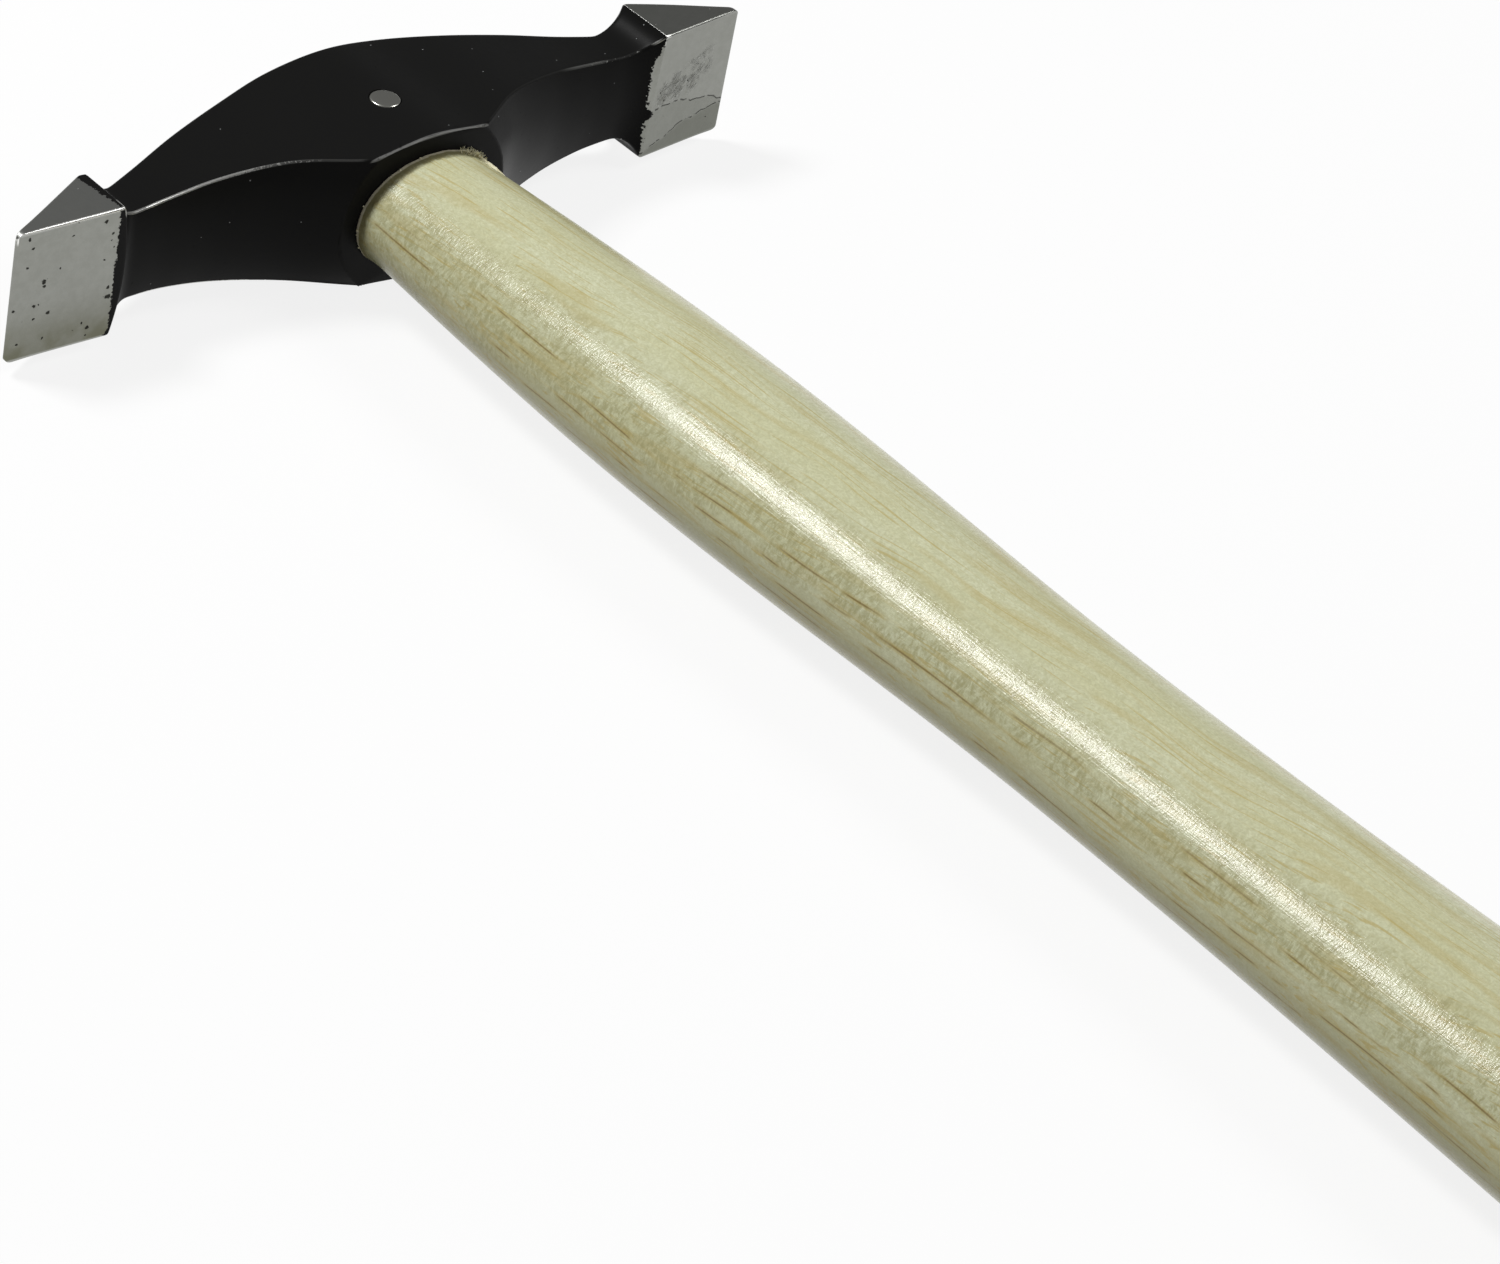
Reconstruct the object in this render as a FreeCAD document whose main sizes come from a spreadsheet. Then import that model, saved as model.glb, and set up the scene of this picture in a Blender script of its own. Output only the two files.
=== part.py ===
import FreeCAD, Part
import math
import os

import Sketcher

# A double-ended texturing hammer: one forged head with two wedge-shaped cross peens,
# a hardwood handle whose tenon fills the eye, a wooden wedge that spreads the tenon,
# and a steel pin driven through both cheeks and the tenon.
#
# The pieces are drawn with X along the head, Y from the grip towards the arched back
# of the head and Z across the cheeks. The peens' ridges lie at Y = 0 and run along Z.
# Each piece is then placed so that the hammer lies on its cheek and grip at Z = 0, with
# the origin at the middle of its footprint.

doc = FreeCAD.newDocument("texturing_hammer")

# The driving sizes in millimetres; a ratio has no unit.
SIZES = [
    # the head from ridge to ridge, and the arms between its boss and its two necks
    ("head_length", 92.0),
    ("arm_reach", 31.0),
    ("boss_half_thickness", 8.25),
    ("neck_half_thickness", 5.05),
    ("arch_back", 12.25),
    ("neck_back", 5.54),
    ("boss_front", 5.68),
    ("neck_front_setback", 0.6),
    ("waist_crown", 2.3),
    ("neck_crown", 0.45),
    ("crease_bevel", 0.25),
    ("arch_bevel", 0.45),
    # the peens: a short land at the base, then two ground faces that meet at the ridge
    ("peen_half_height", 7.38),
    ("peen_base_reach", 34.62),
    ("peen_base_front", 1.0),
    ("peen_base_back", 5.74),
    ("peen_land", 0.9),
    ("ridge_radius", 0.25),
    ("peen_edge_radius", 0.2),
    # the eye through the boss, straight round the pin and flared to both ends, so that
    # the spread tenon can't draw out
    ("eye_half_width", 8.28),
    ("eye_waist_half_width", 8.0),
    ("eye_top_half_width", 8.5),
    ("eye_waist_half_length", 2.2),
    ("tenon_proud", 0.3),
    # the handle from the boss face to the butt
    ("handle_reach", 237.0),
    ("grip_half_width", 12.0),
    ("handle_flat_ratio", 0.73),
    ("butt_radius", 3.0),
    # the wooden wedge in the tenon's saw kerf
    ("wedge_depth", 7.6),
    ("wedge_width", 14.6),
    ("wedge_top_thickness", 2.4),
    ("wedge_tip_thickness", 0.8),
    # the cross pin through the cheeks and the tenon
    ("pin_radius", 1.6),
    ("pin_place", 1.95),
    ("pin_proud", 0.06),
    ("pin_bevel", 0.15),
    # the fit between pieces, the reach of a cut past what it cuts, and how near two
    # places count as the same
    ("fit_clearance", 0.02),
    ("overrun", 4.0),
    ("match_gap", 0.01),
]

sizes = doc.addObject("Spreadsheet::Sheet", "sizes")
for row, (alias, value) in enumerate(SIZES, start=1):
    sizes.set(f"A{row}", alias)
    sizes.set(f"B{row}", str(value))
    sizes.setAlias(f"B{row}", alias)
doc.recompute()

# How a sketch names its origin, its two axes and the points of a line or arc.
ORIGIN = (-1, 1)
ACROSS_AXIS, UP_AXIS = range(-1, -3, -1)
START, END, CENTRE = range(1, 4)


def size(alias):
    """The number that the sheet holds under this name."""
    return float(getattr(sizes, alias))


def between(low, high, share):
    """An expression that gives the low size at share 0 and the high one at share 1."""
    return f"({low}) + (({high}) - ({low})) * {share:.4f}"


def point(across, up):
    return FreeCAD.Vector(across, up, 0)


def new_body(label):
    body = doc.addObject("PartDesign::Body", "body_" + label)
    body.Label = label
    return body


def origin_plane(body, role):
    """The body's own XY, XZ or YZ plane."""
    for feature in body.Origin.OriginFeatures:
        if feature.Role == role:
            return feature
    raise RuntimeError("the body has no " + role)


def new_sketch(body, name, role, place=None):
    """A sketch on one of the body's own planes, or at a place along its normal."""
    sketch = body.newObject("Sketcher::SketchObject", name)
    sketch.AttachmentSupport = [(origin_plane(body, role), "")]
    sketch.MapMode = "FlatFace"
    if place is not None:
        sketch.setExpression("AttachmentOffset.Base.z", place)
    sketch.Visibility = False
    return sketch


def bind(sketch, name, kind, *where, drawn, expression):
    """A constraint that starts at the drawn value and then follows the sheet."""
    index = sketch.addConstraint(Sketcher.Constraint(kind, *where, drawn))
    sketch.renameConstraint(index, name)
    sketch.setExpression("Constraints." + name, expression)


def join(sketch, *ends):
    """Make each named end of a line or arc meet the next one."""
    for geometry, end, other, other_end in ends:
        sketch.addConstraint(Sketcher.Constraint("Coincident", geometry, end, other, other_end))


def add_loop(sketch, corners):
    """Straight lines from corner to corner and back to the first."""
    count = len(corners)
    for index in range(count):
        line = Part.LineSegment(corners[index], corners[(index + 1) % count])
        sketch.addGeometry(line, False)
    join(sketch, *[(index, END, (index + 1) % count, START) for index in range(count)])


def finish_feature(body, feature):
    """Make this the body's last feature, and work it out."""
    body.Tip = feature
    doc.recompute()
    return feature


def loft(body, kind, name, sections, straight=False):
    """A skin through the sections, smooth or straight from each to the next.

    It is added to the body or cut from it.
    """
    feature = body.newObject("PartDesign::" + kind, name)
    feature.Profile = sections[0]
    feature.Sections = sections[1:]
    feature.Ruled = straight
    return finish_feature(body, feature)


def extrude(body, kind, name, sketch, length):
    """A pad or a pocket that reaches equally to both sides of its sketch."""
    feature = body.newObject("PartDesign::" + kind, name)
    feature.Profile = sketch
    feature.Midplane = True
    feature.setExpression("Length", length)
    return finish_feature(body, feature)


def soften_edges(body, kind, name, depth, chosen):
    """Round or bevel the edges of the body that a test picks by their middle point."""
    base = body.Tip
    names = []
    for number, edge in enumerate(base.Shape.Edges, start=1):
        middle = edge.valueAt((edge.FirstParameter + edge.LastParameter) / 2)
        if chosen(edge, middle):
            names.append(f"Edge{number}")
    if not names:
        raise RuntimeError("no edge to soften for " + name)
    feature = body.newObject("PartDesign::" + kind, name)
    feature.Base = (base, names)
    feature.setExpression({"Fillet": "Radius", "Chamfer": "Size"}[kind], depth)
    return finish_feature(body, feature)


def same(value, other):
    """Whether two places are the same, within the sheet's gap."""
    return abs(value - other) < size("match_gap")


# The head

# The arms, from the middle of the boss to the neck. Places are shares of their reach.
# Thickness, back and crown go from the boss's size at 1 to the neck's at 0, and so does
# the front, which passes 1 where the boss face later cuts it off.
ARM_PLACE_SHARES = [0, 0.224, 0.45, 0.68, 0.87, 1]
ARM_THICKNESS_SHARES = [1, 0.76, 0.62, 0.34, 0.1, 0]
ARM_BACK_SHARES = [1, 1, 0.75, 0.49, 0.205, 0]
ARM_FRONT_SHARES = [1.42, 1, 0.37, 0.055, -0.02, 0]
ARM_CROWN_SHARES = [1, 1, 0.6, 0.3, 0.1, 0]

# The cove that flares each neck out to its peen: where its sections stand along it, and
# how much of a quarter turn it makes.
COVE_PLACE_SHARES = [0.3, 0.55, 0.75, 0.9, 1]
COVE_TURN_SHARE = 0.95
COVE_END = "sizes.peen_base_reach - sizes.peen_land"

NECK_FRONT = "sizes.neck_front_setback"


def head_section(body, name, place, half_thickness, front, back, crown):
    """A cut across the head: flat cheeks, a flat back, a crowned front, bevelled corners.

    The sketch's own axes run along the hammer's Y and Z. With no crown the front is
    a straight line.
    """
    sketch = new_sketch(body, name, "YZ_Plane", place)
    near = -size("boss_front")
    far = size("arch_back")
    high = size("boss_half_thickness")
    rise = size("waist_crown")
    fine = size("crease_bevel")
    broad = size("arch_bevel")
    upper = [point(near, high - fine), point(near + fine, high),
             point(far - broad, high), point(far, high - broad)]
    lower = [point(corner.x, -corner.y) for corner in reversed(upper)]
    corners = upper + lower
    for corner, following in zip(corners, corners[1:]):
        sketch.addGeometry(Part.LineSegment(corner, following), False)
    if crown is None:
        front_from, front_to = START, END
        sketch.addGeometry(Part.LineSegment(corners[-1], corners[0]), False)
    else:
        front_from, front_to = END, START
        bow = Part.Arc(corners[0], point(near - rise, 0), corners[-1])
        sketch.addGeometry(bow, False)
        chord = f"({half_thickness}) - sizes.crease_bevel"
        bind(sketch, "bow", "Radius", 7, drawn=((high - fine) ** 2 + rise ** 2) / (2 * rise),
             expression=f"(({chord})^2 + ({crown})^2) / (2 * ({crown}))")
    join(sketch, *[(line, END, line + 1, START) for line in range(6)])
    join(sketch, (6, END, 7, front_from), (7, front_to, 0, START))
    sketch.addConstraint(Sketcher.Constraint("Horizontal", 1))
    for line in range(4):
        sketch.addConstraint(
            Sketcher.Constraint("Symmetric", line, START, 6 - line, END, ACROSS_AXIS))
    for line, depth in ((0, "crease_bevel"), (2, "arch_bevel")):
        near_end, far_end = (START, END) if line == 0 else (END, START)
        bind(sketch, depth + "_along", "DistanceX", line, START, line, END,
             drawn=size(depth), expression="sizes." + depth)
        bind(sketch, depth + "_across", "DistanceY", line, near_end, line, far_end,
             drawn=size(depth), expression="sizes." + depth)
    bind(sketch, "half_thickness", "DistanceY", *ORIGIN, 1, END,
         drawn=high, expression=half_thickness)
    bind(sketch, "back", "DistanceX", *ORIGIN, 2, END, drawn=far, expression=back)
    bind(sketch, "front", "DistanceX", *ORIGIN, 0, START, drawn=near, expression=front)
    return sketch


def arm_sections(body):
    """Cuts across both arms, from the left neck through the boss to the right neck."""
    count = len(ARM_PLACE_SHARES)
    stations = [(-1, index) for index in reversed(range(1, count))]
    stations += [(1, index) for index in range(count)]
    return [
        head_section(
            body,
            f"arm_cut_{number}",
            f"sizes.arm_reach * {side * ARM_PLACE_SHARES[index]}",
            between("sizes.neck_half_thickness", "sizes.boss_half_thickness",
                    ARM_THICKNESS_SHARES[index]),
            between(NECK_FRONT, "-sizes.boss_front", ARM_FRONT_SHARES[index]),
            between("sizes.neck_back", "sizes.arch_back", ARM_BACK_SHARES[index]),
            between("sizes.neck_crown", "sizes.waist_crown", ARM_CROWN_SHARES[index]),
        )
        for number, (side, index) in enumerate(stations)
    ]


def cove_rise(share):
    """How far the cove has risen, from 0 to 1, at this share of its length."""
    whole = 1 - math.sqrt(1 - COVE_TURN_SHARE ** 2)
    return (1 - math.sqrt(1 - (COVE_TURN_SHARE * share) ** 2)) / whole


def cove_sections(body, neck_cut):
    """Cuts that spread the right neck, in a cove, out to the base of its peen."""
    sections = [neck_cut]
    for share in COVE_PLACE_SHARES:
        rise = cove_rise(share)
        at_peen = share == COVE_PLACE_SHARES[-1]
        sections.append(head_section(
            body,
            f"cove_cut_{len(sections)}",
            between("sizes.arm_reach", COVE_END, share),
            between("sizes.neck_half_thickness", "sizes.peen_half_height", rise),
            between(NECK_FRONT, "-sizes.peen_base_front", rise),
            between("sizes.neck_back", "sizes.peen_base_back", rise),
            None if at_peen else between("sizes.neck_crown", "0", rise),
        ))
    return sections


def peen_plan(body):
    """The right peen seen from above: its land, two ground faces and a round ridge."""
    sketch = new_sketch(body, "peen_plan", "XY_Plane")
    base = size("peen_base_reach")
    land = base - size("peen_land")
    front = -size("peen_base_front")
    back = size("peen_base_back")
    nose = size("ridge_radius")
    ridge = size("head_length") / 2 - nose
    low = point(ridge, -nose)
    high = point(ridge, nose)
    for line in (
        Part.LineSegment(point(land, back), point(land, front)),
        Part.LineSegment(point(land, front), point(base, front)),
        Part.LineSegment(point(base, front), low),
        Part.Arc(low, point(ridge + nose, 0), high),
        Part.LineSegment(high, point(base, back)),
        Part.LineSegment(point(base, back), point(land, back)),
    ):
        sketch.addGeometry(line, False)
    join(sketch, (0, END, 1, START), (1, END, 2, START), (4, END, 5, START), (5, END, 0, START))
    sketch.addConstraint(Sketcher.Constraint("Tangent", 2, END, 3, START))
    sketch.addConstraint(Sketcher.Constraint("Tangent", 3, END, 4, START))
    sketch.addConstraint(Sketcher.Constraint("Vertical", 0))
    sketch.addConstraint(Sketcher.Constraint("Horizontal", 1))
    sketch.addConstraint(Sketcher.Constraint("Horizontal", 5))
    sketch.addConstraint(Sketcher.Constraint("Vertical", 1, END, 5, START))
    sketch.addConstraint(Sketcher.Constraint("PointOnObject", 3, CENTRE, ACROSS_AXIS))
    bind(sketch, "nose", "Radius", 3, drawn=nose, expression="sizes.ridge_radius")
    bind(sketch, "ridge", "DistanceX", *ORIGIN, 3, CENTRE,
         drawn=ridge, expression="sizes.head_length / 2 - sizes.ridge_radius")
    bind(sketch, "base", "DistanceX", *ORIGIN, 1, END,
         drawn=base, expression="sizes.peen_base_reach")
    bind(sketch, "land", "DistanceX", *ORIGIN, 0, START, drawn=land, expression=COVE_END)
    bind(sketch, "front", "DistanceY", *ORIGIN, 1, END,
         drawn=front, expression="-sizes.peen_base_front")
    bind(sketch, "back", "DistanceY", *ORIGIN, 5, START,
         drawn=back, expression="sizes.peen_base_back")
    return sketch


def boss_face_plan(body):
    """What is ground off in front of the boss face, seen from above."""
    sketch = new_sketch(body, "boss_face_plan", "XY_Plane")
    wide = size("arm_reach")
    high = -size("boss_front")
    low = high - size("arch_back")
    add_loop(sketch, [point(-wide, low), point(wide, low), point(wide, high), point(-wide, high)])
    sketch.addConstraint(Sketcher.Constraint("Symmetric", 0, START, 0, END, UP_AXIS))
    sketch.addConstraint(Sketcher.Constraint("Symmetric", 2, START, 2, END, UP_AXIS))
    bind(sketch, "reach", "DistanceX", *ORIGIN, 0, END, drawn=wide, expression="sizes.arm_reach")
    bind(sketch, "far_reach", "DistanceX", *ORIGIN, 2, START,
         drawn=wide, expression="sizes.arm_reach")
    bind(sketch, "face", "DistanceY", *ORIGIN, 2, START,
         drawn=high, expression="-sizes.boss_front")
    bind(sketch, "outside", "DistanceY", *ORIGIN, 0, END,
         drawn=low, expression="-sizes.boss_front - sizes.arch_back")
    return sketch


def pin_circle(body, name, radius):
    """The cross pin, or its hole, seen from above."""
    sketch = new_sketch(body, name, "XY_Plane")
    place = size("pin_place")
    reach = size("pin_radius")
    sketch.addGeometry(Part.Circle(point(0, place), FreeCAD.Vector(0, 0, 1), reach), False)
    sketch.addConstraint(Sketcher.Constraint("PointOnObject", 0, CENTRE, UP_AXIS))
    bind(sketch, "place", "DistanceY", *ORIGIN, 0, CENTRE,
         drawn=place, expression="sizes.pin_place")
    bind(sketch, "radius", "Radius", 0, drawn=reach, expression=radius)
    return sketch


def drill_for_pin(body):
    """The hole for the cross pin, right through both cheeks."""
    plan = pin_circle(body, body.Label + "_pin_hole", "sizes.pin_radius + sizes.fit_clearance")
    extrude(body, "Pocket", body.Label + "_drilled", plan,
            "2 * sizes.boss_half_thickness + sizes.overrun")


def is_peen_outline(edge, middle):
    """The ground outline of a peen's top or bottom, and the sides of its land."""
    at_end = abs(middle.z) > size("peen_half_height") - size("match_gap")
    land_start = size("peen_base_reach") - size("peen_land")
    return at_end and abs(middle.x) > land_start + size("match_gap")


def is_boss_rim(edge, middle):
    """The two edges where the cheeks meet the boss face, from left to right of the eye."""
    ends = [vertex.Point for vertex in edge.Vertexes]
    on_face = all(same(end.y, -size("boss_front")) for end in ends)
    on_cheek = all(abs(end.z) > size("neck_half_thickness") for end in ends)
    return on_face and on_cheek and ends[0].x * ends[-1].x < 0 and same(middle.y, ends[0].y)


def make_head():
    """One forging with a ground wedge peen at each end, the eye and the pin's hole."""
    body = new_body("head")
    arm_cuts = arm_sections(body)
    loft(body, "AdditiveLoft", "arms", arm_cuts)
    extrude(body, "Pocket", "boss_face", boss_face_plan(body),
            "2 * sizes.boss_half_thickness + sizes.overrun")
    cove = loft(body, "AdditiveLoft", "cove", cove_sections(body, arm_cuts[-1]))
    peen = extrude(body, "Pad", "peen", peen_plan(body), "2 * sizes.peen_half_height")
    other_end = body.newObject("PartDesign::Mirrored", "other_end")
    other_end.Originals = [cove, peen]
    other_end.MirrorPlane = (origin_plane(body, "YZ_Plane"), [""])
    finish_feature(body, other_end)
    soften_edges(body, "Fillet", "peen_edges", "sizes.peen_edge_radius", is_peen_outline)
    soften_edges(body, "Chamfer", "boss_rim", "sizes.crease_bevel", is_boss_rim)
    loft(body, "SubtractiveLoft", "eye", eye_ovals(body, "eye"), straight=True)
    drill_for_pin(body)
    return body


# The eye and the handle in it

TENON_TOP = "sizes.arch_back + sizes.tenon_proud"

# The handle's profile from the boss face to the butt: waves that each end at a place, a
# share of the reach, and a swell, 0 as wide as the eye's mouth and 1 as wide as the grip.
# The last two shares say which part of a half wave it is.
HANDLE_WAVE_SHARES = [
    (0.2, 0.57, 0.5, 1),
    (0.4, 0.3, 0, 1),
    (0.85, 1, 0, 1),
    (1, 0.7, 0, 0.5),
]
GRIP_CUTS = 20
BUTT_CUTS = 3


def handle_swell(share):
    """How far the handle has swelled at this share of its reach."""
    start, low = 0, 0
    for place, high, first, last in HANDLE_WAVE_SHARES:
        if share <= place:
            break
        start, low = place, high
    turn = first + (last - first) * (share - start) / (place - start)
    drop = math.cos(math.pi * first) - math.cos(math.pi * turn)
    whole_drop = math.cos(math.pi * first) - math.cos(math.pi * last)
    return low + (high - low) * drop / whole_drop


def oval(body, name, place, half_width, clearance="0"):
    """An ellipse across the handle, less a clearance all round."""
    sketch = new_sketch(body, name, "XZ_Plane", place)
    wide = size("grip_half_width")
    high = wide * size("handle_flat_ratio")
    sketch.addGeometry(Part.Ellipse(point(0, 0), wide, high), False)
    sketch.exposeInternalGeometry(0)
    join(sketch, (0, CENTRE, *ORIGIN))
    sketch.addConstraint(Sketcher.Constraint("Horizontal", 1))
    bind(sketch, "width", "Distance", 1, drawn=2 * wide,
         expression=f"2 * ({half_width} - {clearance})")
    bind(sketch, "height", "Distance", 2, drawn=2 * high,
         expression=f"2 * (({half_width}) * sizes.handle_flat_ratio - {clearance})")
    return sketch


def eye_ovals(body, name, clearance="0"):
    """The eye's mouth, its straight waist and its top, or the tenon's with clearance."""
    return [
        oval(body, name + "_mouth", "sizes.boss_front", "sizes.eye_half_width", clearance),
        oval(body, name + "_waist_start", "sizes.eye_waist_half_length - sizes.pin_place",
             "sizes.eye_waist_half_width", clearance),
        oval(body, name + "_waist_end", "-sizes.eye_waist_half_length - sizes.pin_place",
             "sizes.eye_waist_half_width", clearance),
        oval(body, name + "_top", f"-({TENON_TOP})", "sizes.eye_top_half_width", clearance),
    ]


def wedge_outline(body, name, clearance="0"):
    """The wedge, or its kerf with clearance: thick at the tenon's top, thin at the tip."""
    sketch = new_sketch(body, name, "YZ_Plane")
    top = size("arch_back") + size("tenon_proud")
    tip = top - size("wedge_depth")
    thick = size("wedge_top_thickness") / 2
    thin = size("wedge_tip_thickness") / 2
    add_loop(sketch, [point(top, thick), point(tip, thin), point(tip, -thin), point(top, -thick)])
    sketch.addConstraint(Sketcher.Constraint("Symmetric", 0, START, 2, END, ACROSS_AXIS))
    sketch.addConstraint(Sketcher.Constraint("Symmetric", 0, END, 1, END, ACROSS_AXIS))
    bind(sketch, "top", "DistanceX", *ORIGIN, 0, START, drawn=top, expression=TENON_TOP)
    bind(sketch, "tip", "DistanceX", *ORIGIN, 0, END,
         drawn=tip, expression=f"{TENON_TOP} - sizes.wedge_depth - {clearance}")
    bind(sketch, "thick", "DistanceY", *ORIGIN, 0, START,
         drawn=thick, expression=f"sizes.wedge_top_thickness / 2 + {clearance}")
    bind(sketch, "thin", "DistanceY", *ORIGIN, 0, END,
         drawn=thin, expression=f"sizes.wedge_tip_thickness / 2 + {clearance}")
    return sketch


def grip_ovals(body):
    """The handle's cuts from near the boss to the butt, whose rim is rounded."""
    cuts = []
    for number in range(1, GRIP_CUTS + 1):
        share = number / GRIP_CUTS
        cuts.append(oval(
            body,
            f"grip_cut_{number}",
            f"sizes.boss_front + (sizes.handle_reach - sizes.butt_radius) * {share:.4f}",
            between("sizes.eye_half_width", "sizes.grip_half_width", handle_swell(share)),
        ))
    butt = between("sizes.eye_half_width", "sizes.grip_half_width", handle_swell(1))
    for number in range(1, BUTT_CUTS + 1):
        turn = math.pi / 2 * number / BUTT_CUTS
        cuts.append(oval(
            body,
            f"butt_cut_{number}",
            f"sizes.boss_front + sizes.handle_reach - sizes.butt_radius * {1 - math.sin(turn):.4f}",
            f"{butt} - sizes.butt_radius * {1 - math.cos(turn):.4f}",
        ))
    return cuts


def make_handle():
    """The grip and its tenon, with the wedge's kerf and the pin's hole."""
    body = new_body("handle")
    tenon_cuts = eye_ovals(body, "tenon", "sizes.fit_clearance")
    loft(body, "AdditiveLoft", "tenon", tenon_cuts, straight=True)
    loft(body, "AdditiveLoft", "grip", [tenon_cuts[0]] + grip_ovals(body), straight=True)
    extrude(body, "Pocket", "kerf", wedge_outline(body, "kerf_outline", "sizes.fit_clearance"),
            "2 * sizes.eye_top_half_width + sizes.overrun")
    drill_for_pin(body)
    return body


# The wedge and the pin

def make_eye_wedge():
    """The hardwood wedge that spreads the tenon in the top of the eye."""
    body = new_body("eye_wedge")
    extrude(body, "Pad", "wedge", wedge_outline(body, "outline"), "sizes.wedge_width")
    return body


def is_rim(edge, middle):
    """The round edge of either end of the pin."""
    return same(edge.BoundBox.ZLength, 0)


def make_cross_pin():
    """The steel pin, driven through and dressed almost flush with both cheeks."""
    body = new_body("cross_pin")
    extrude(body, "Pad", "shank", pin_circle(body, "plan", "sizes.pin_radius"),
            "2 * (sizes.boss_half_thickness + sizes.pin_proud)")
    soften_edges(body, "Chamfer", "ends", "sizes.pin_bevel", is_rim)
    return body


def lay_down(body):
    """Place a piece so that the grip's widest oval lies on Z = 0 about the origin."""
    body.setExpression("Placement.Base.y", "(sizes.boss_front + sizes.handle_reach"
                       f" - ({TENON_TOP})) / 2")
    body.setExpression("Placement.Base.z", "sizes.grip_half_width * sizes.handle_flat_ratio")


def check(pieces):
    """Stop unless every object worked out and every piece is one sound solid."""
    for item in doc.Objects:
        if "Invalid" in item.State or "Error" in item.State:
            raise RuntimeError(f"{item.Label} failed: {item.State}")
    for piece in pieces:
        shape = piece.Shape
        if shape.isNull() or not shape.isValid() or len(shape.Solids) != 1:
            raise RuntimeError(f"{piece.Label} isn't one sound solid")
        print(f"{piece.Label}: {shape.Volume:.1f} cubic mm, {len(shape.Faces)} faces")


pieces = [make_head(), make_handle(), make_eye_wedge(), make_cross_pin()]
for piece in pieces:
    lay_down(piece)
doc.recompute()
check(pieces)

os.makedirs("parts", exist_ok=True)
for piece in pieces:
    piece.Shape.exportStep(f"parts/{piece.Label}.step")
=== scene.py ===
import math
import random

import bmesh
import bpy
from mathutils import Matrix, Vector


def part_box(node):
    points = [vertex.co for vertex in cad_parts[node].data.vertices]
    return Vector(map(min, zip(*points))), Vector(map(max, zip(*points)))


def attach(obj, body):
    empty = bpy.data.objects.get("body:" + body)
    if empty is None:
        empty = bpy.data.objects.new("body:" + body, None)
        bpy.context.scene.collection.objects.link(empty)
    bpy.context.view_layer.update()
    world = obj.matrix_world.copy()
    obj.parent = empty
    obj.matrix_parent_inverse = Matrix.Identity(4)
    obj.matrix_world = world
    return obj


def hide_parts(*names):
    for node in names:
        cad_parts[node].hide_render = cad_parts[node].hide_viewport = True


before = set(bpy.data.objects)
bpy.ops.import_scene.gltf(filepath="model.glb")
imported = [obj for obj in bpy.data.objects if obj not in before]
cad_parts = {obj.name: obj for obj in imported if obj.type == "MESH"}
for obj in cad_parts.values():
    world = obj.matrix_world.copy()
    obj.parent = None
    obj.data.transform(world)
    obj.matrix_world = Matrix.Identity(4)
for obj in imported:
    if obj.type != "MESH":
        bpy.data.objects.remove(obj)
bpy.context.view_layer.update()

# A texturing hammer, laid on its side: a forged head with two ground peens, an oval hardwood
# handle, the wedge in its tenon and the pin through the eye.

# Places and sizes, in metres. X runs along the head, Y from the butt of the handle to the
# arched back of the head, and Z up through both cheeks.
MM = 0.001
HEAD_LOW, HEAD_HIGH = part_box("head")
HANDLE_LOW, HANDLE_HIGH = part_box("handle")
PIN_LOW, PIN_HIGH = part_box("cross_pin")
WEDGE_LOW, WEDGE_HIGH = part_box("eye_wedge")

MID_HEIGHT = (PIN_LOW.z + PIN_HIGH.z) / 2
BOSS_FACE = HEAD_LOW.y
BOSS_FRONT = 5.68 * MM
RIDGE_LINE = BOSS_FACE + BOSS_FRONT

HALF_LENGTH = HEAD_HIGH.x
BOSS_HALF = (HEAD_HIGH.z - HEAD_LOW.z) / 2

# Points that lie this close to each other are one point.
MERGE_REACH = 0.001 * MM

# Cutters reach this far past what they cut.
CUT_OVERRUN = 3 * MM


# Shader maths

# The colour sockets of a Mix node, whose names repeat for each kind of value.
MIX_SHARE, MIX_FIRST, MIX_OTHER, MIX_RESULT = 0, 6, 7, 2

# A dot is full up to this share of its radius, and fades from there to its edge.
DOT_CORE_SHARE = 0.6


class Signal:
    """One output of a node, so that shader maths is written as Python expressions."""

    def __init__(self, finish, output):
        self.finish = finish
        self.output = output

    def maths(self, operation, *values):
        sockets = dict(enumerate(values))
        return self.finish.node("ShaderNodeMath", {"operation": operation}, sockets)

    def __add__(self, other):
        return self.maths("ADD", self, other)

    def __radd__(self, other):
        return self.maths("ADD", other, self)

    def __sub__(self, other):
        return self.maths("SUBTRACT", self, other)

    def __rsub__(self, other):
        return self.maths("SUBTRACT", other, self)

    def __mul__(self, other):
        return self.maths("MULTIPLY", self, other)

    def __rmul__(self, other):
        return self.maths("MULTIPLY", other, self)

    def __abs__(self):
        return self.maths("ABSOLUTE", self)

    def fraction(self):
        return self.maths("FRACT", self)

    def least(self, other):
        return self.maths("MINIMUM", self, other)

    def most(self, other):
        return self.maths("MAXIMUM", self, other)

    def step(self, low, high):
        """0 below low, 1 above high and smooth between; the other way round if high is lower."""
        start, end = (0.0, 1.0) if low < high else (1.0, 0.0)
        return self.finish.node(
            "ShaderNodeMapRange", {"interpolation_type": "SMOOTHSTEP"},
            {"Value": self, "From Min": min(low, high), "From Max": max(low, high),
             "To Min": start, "To Max": end})


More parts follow.
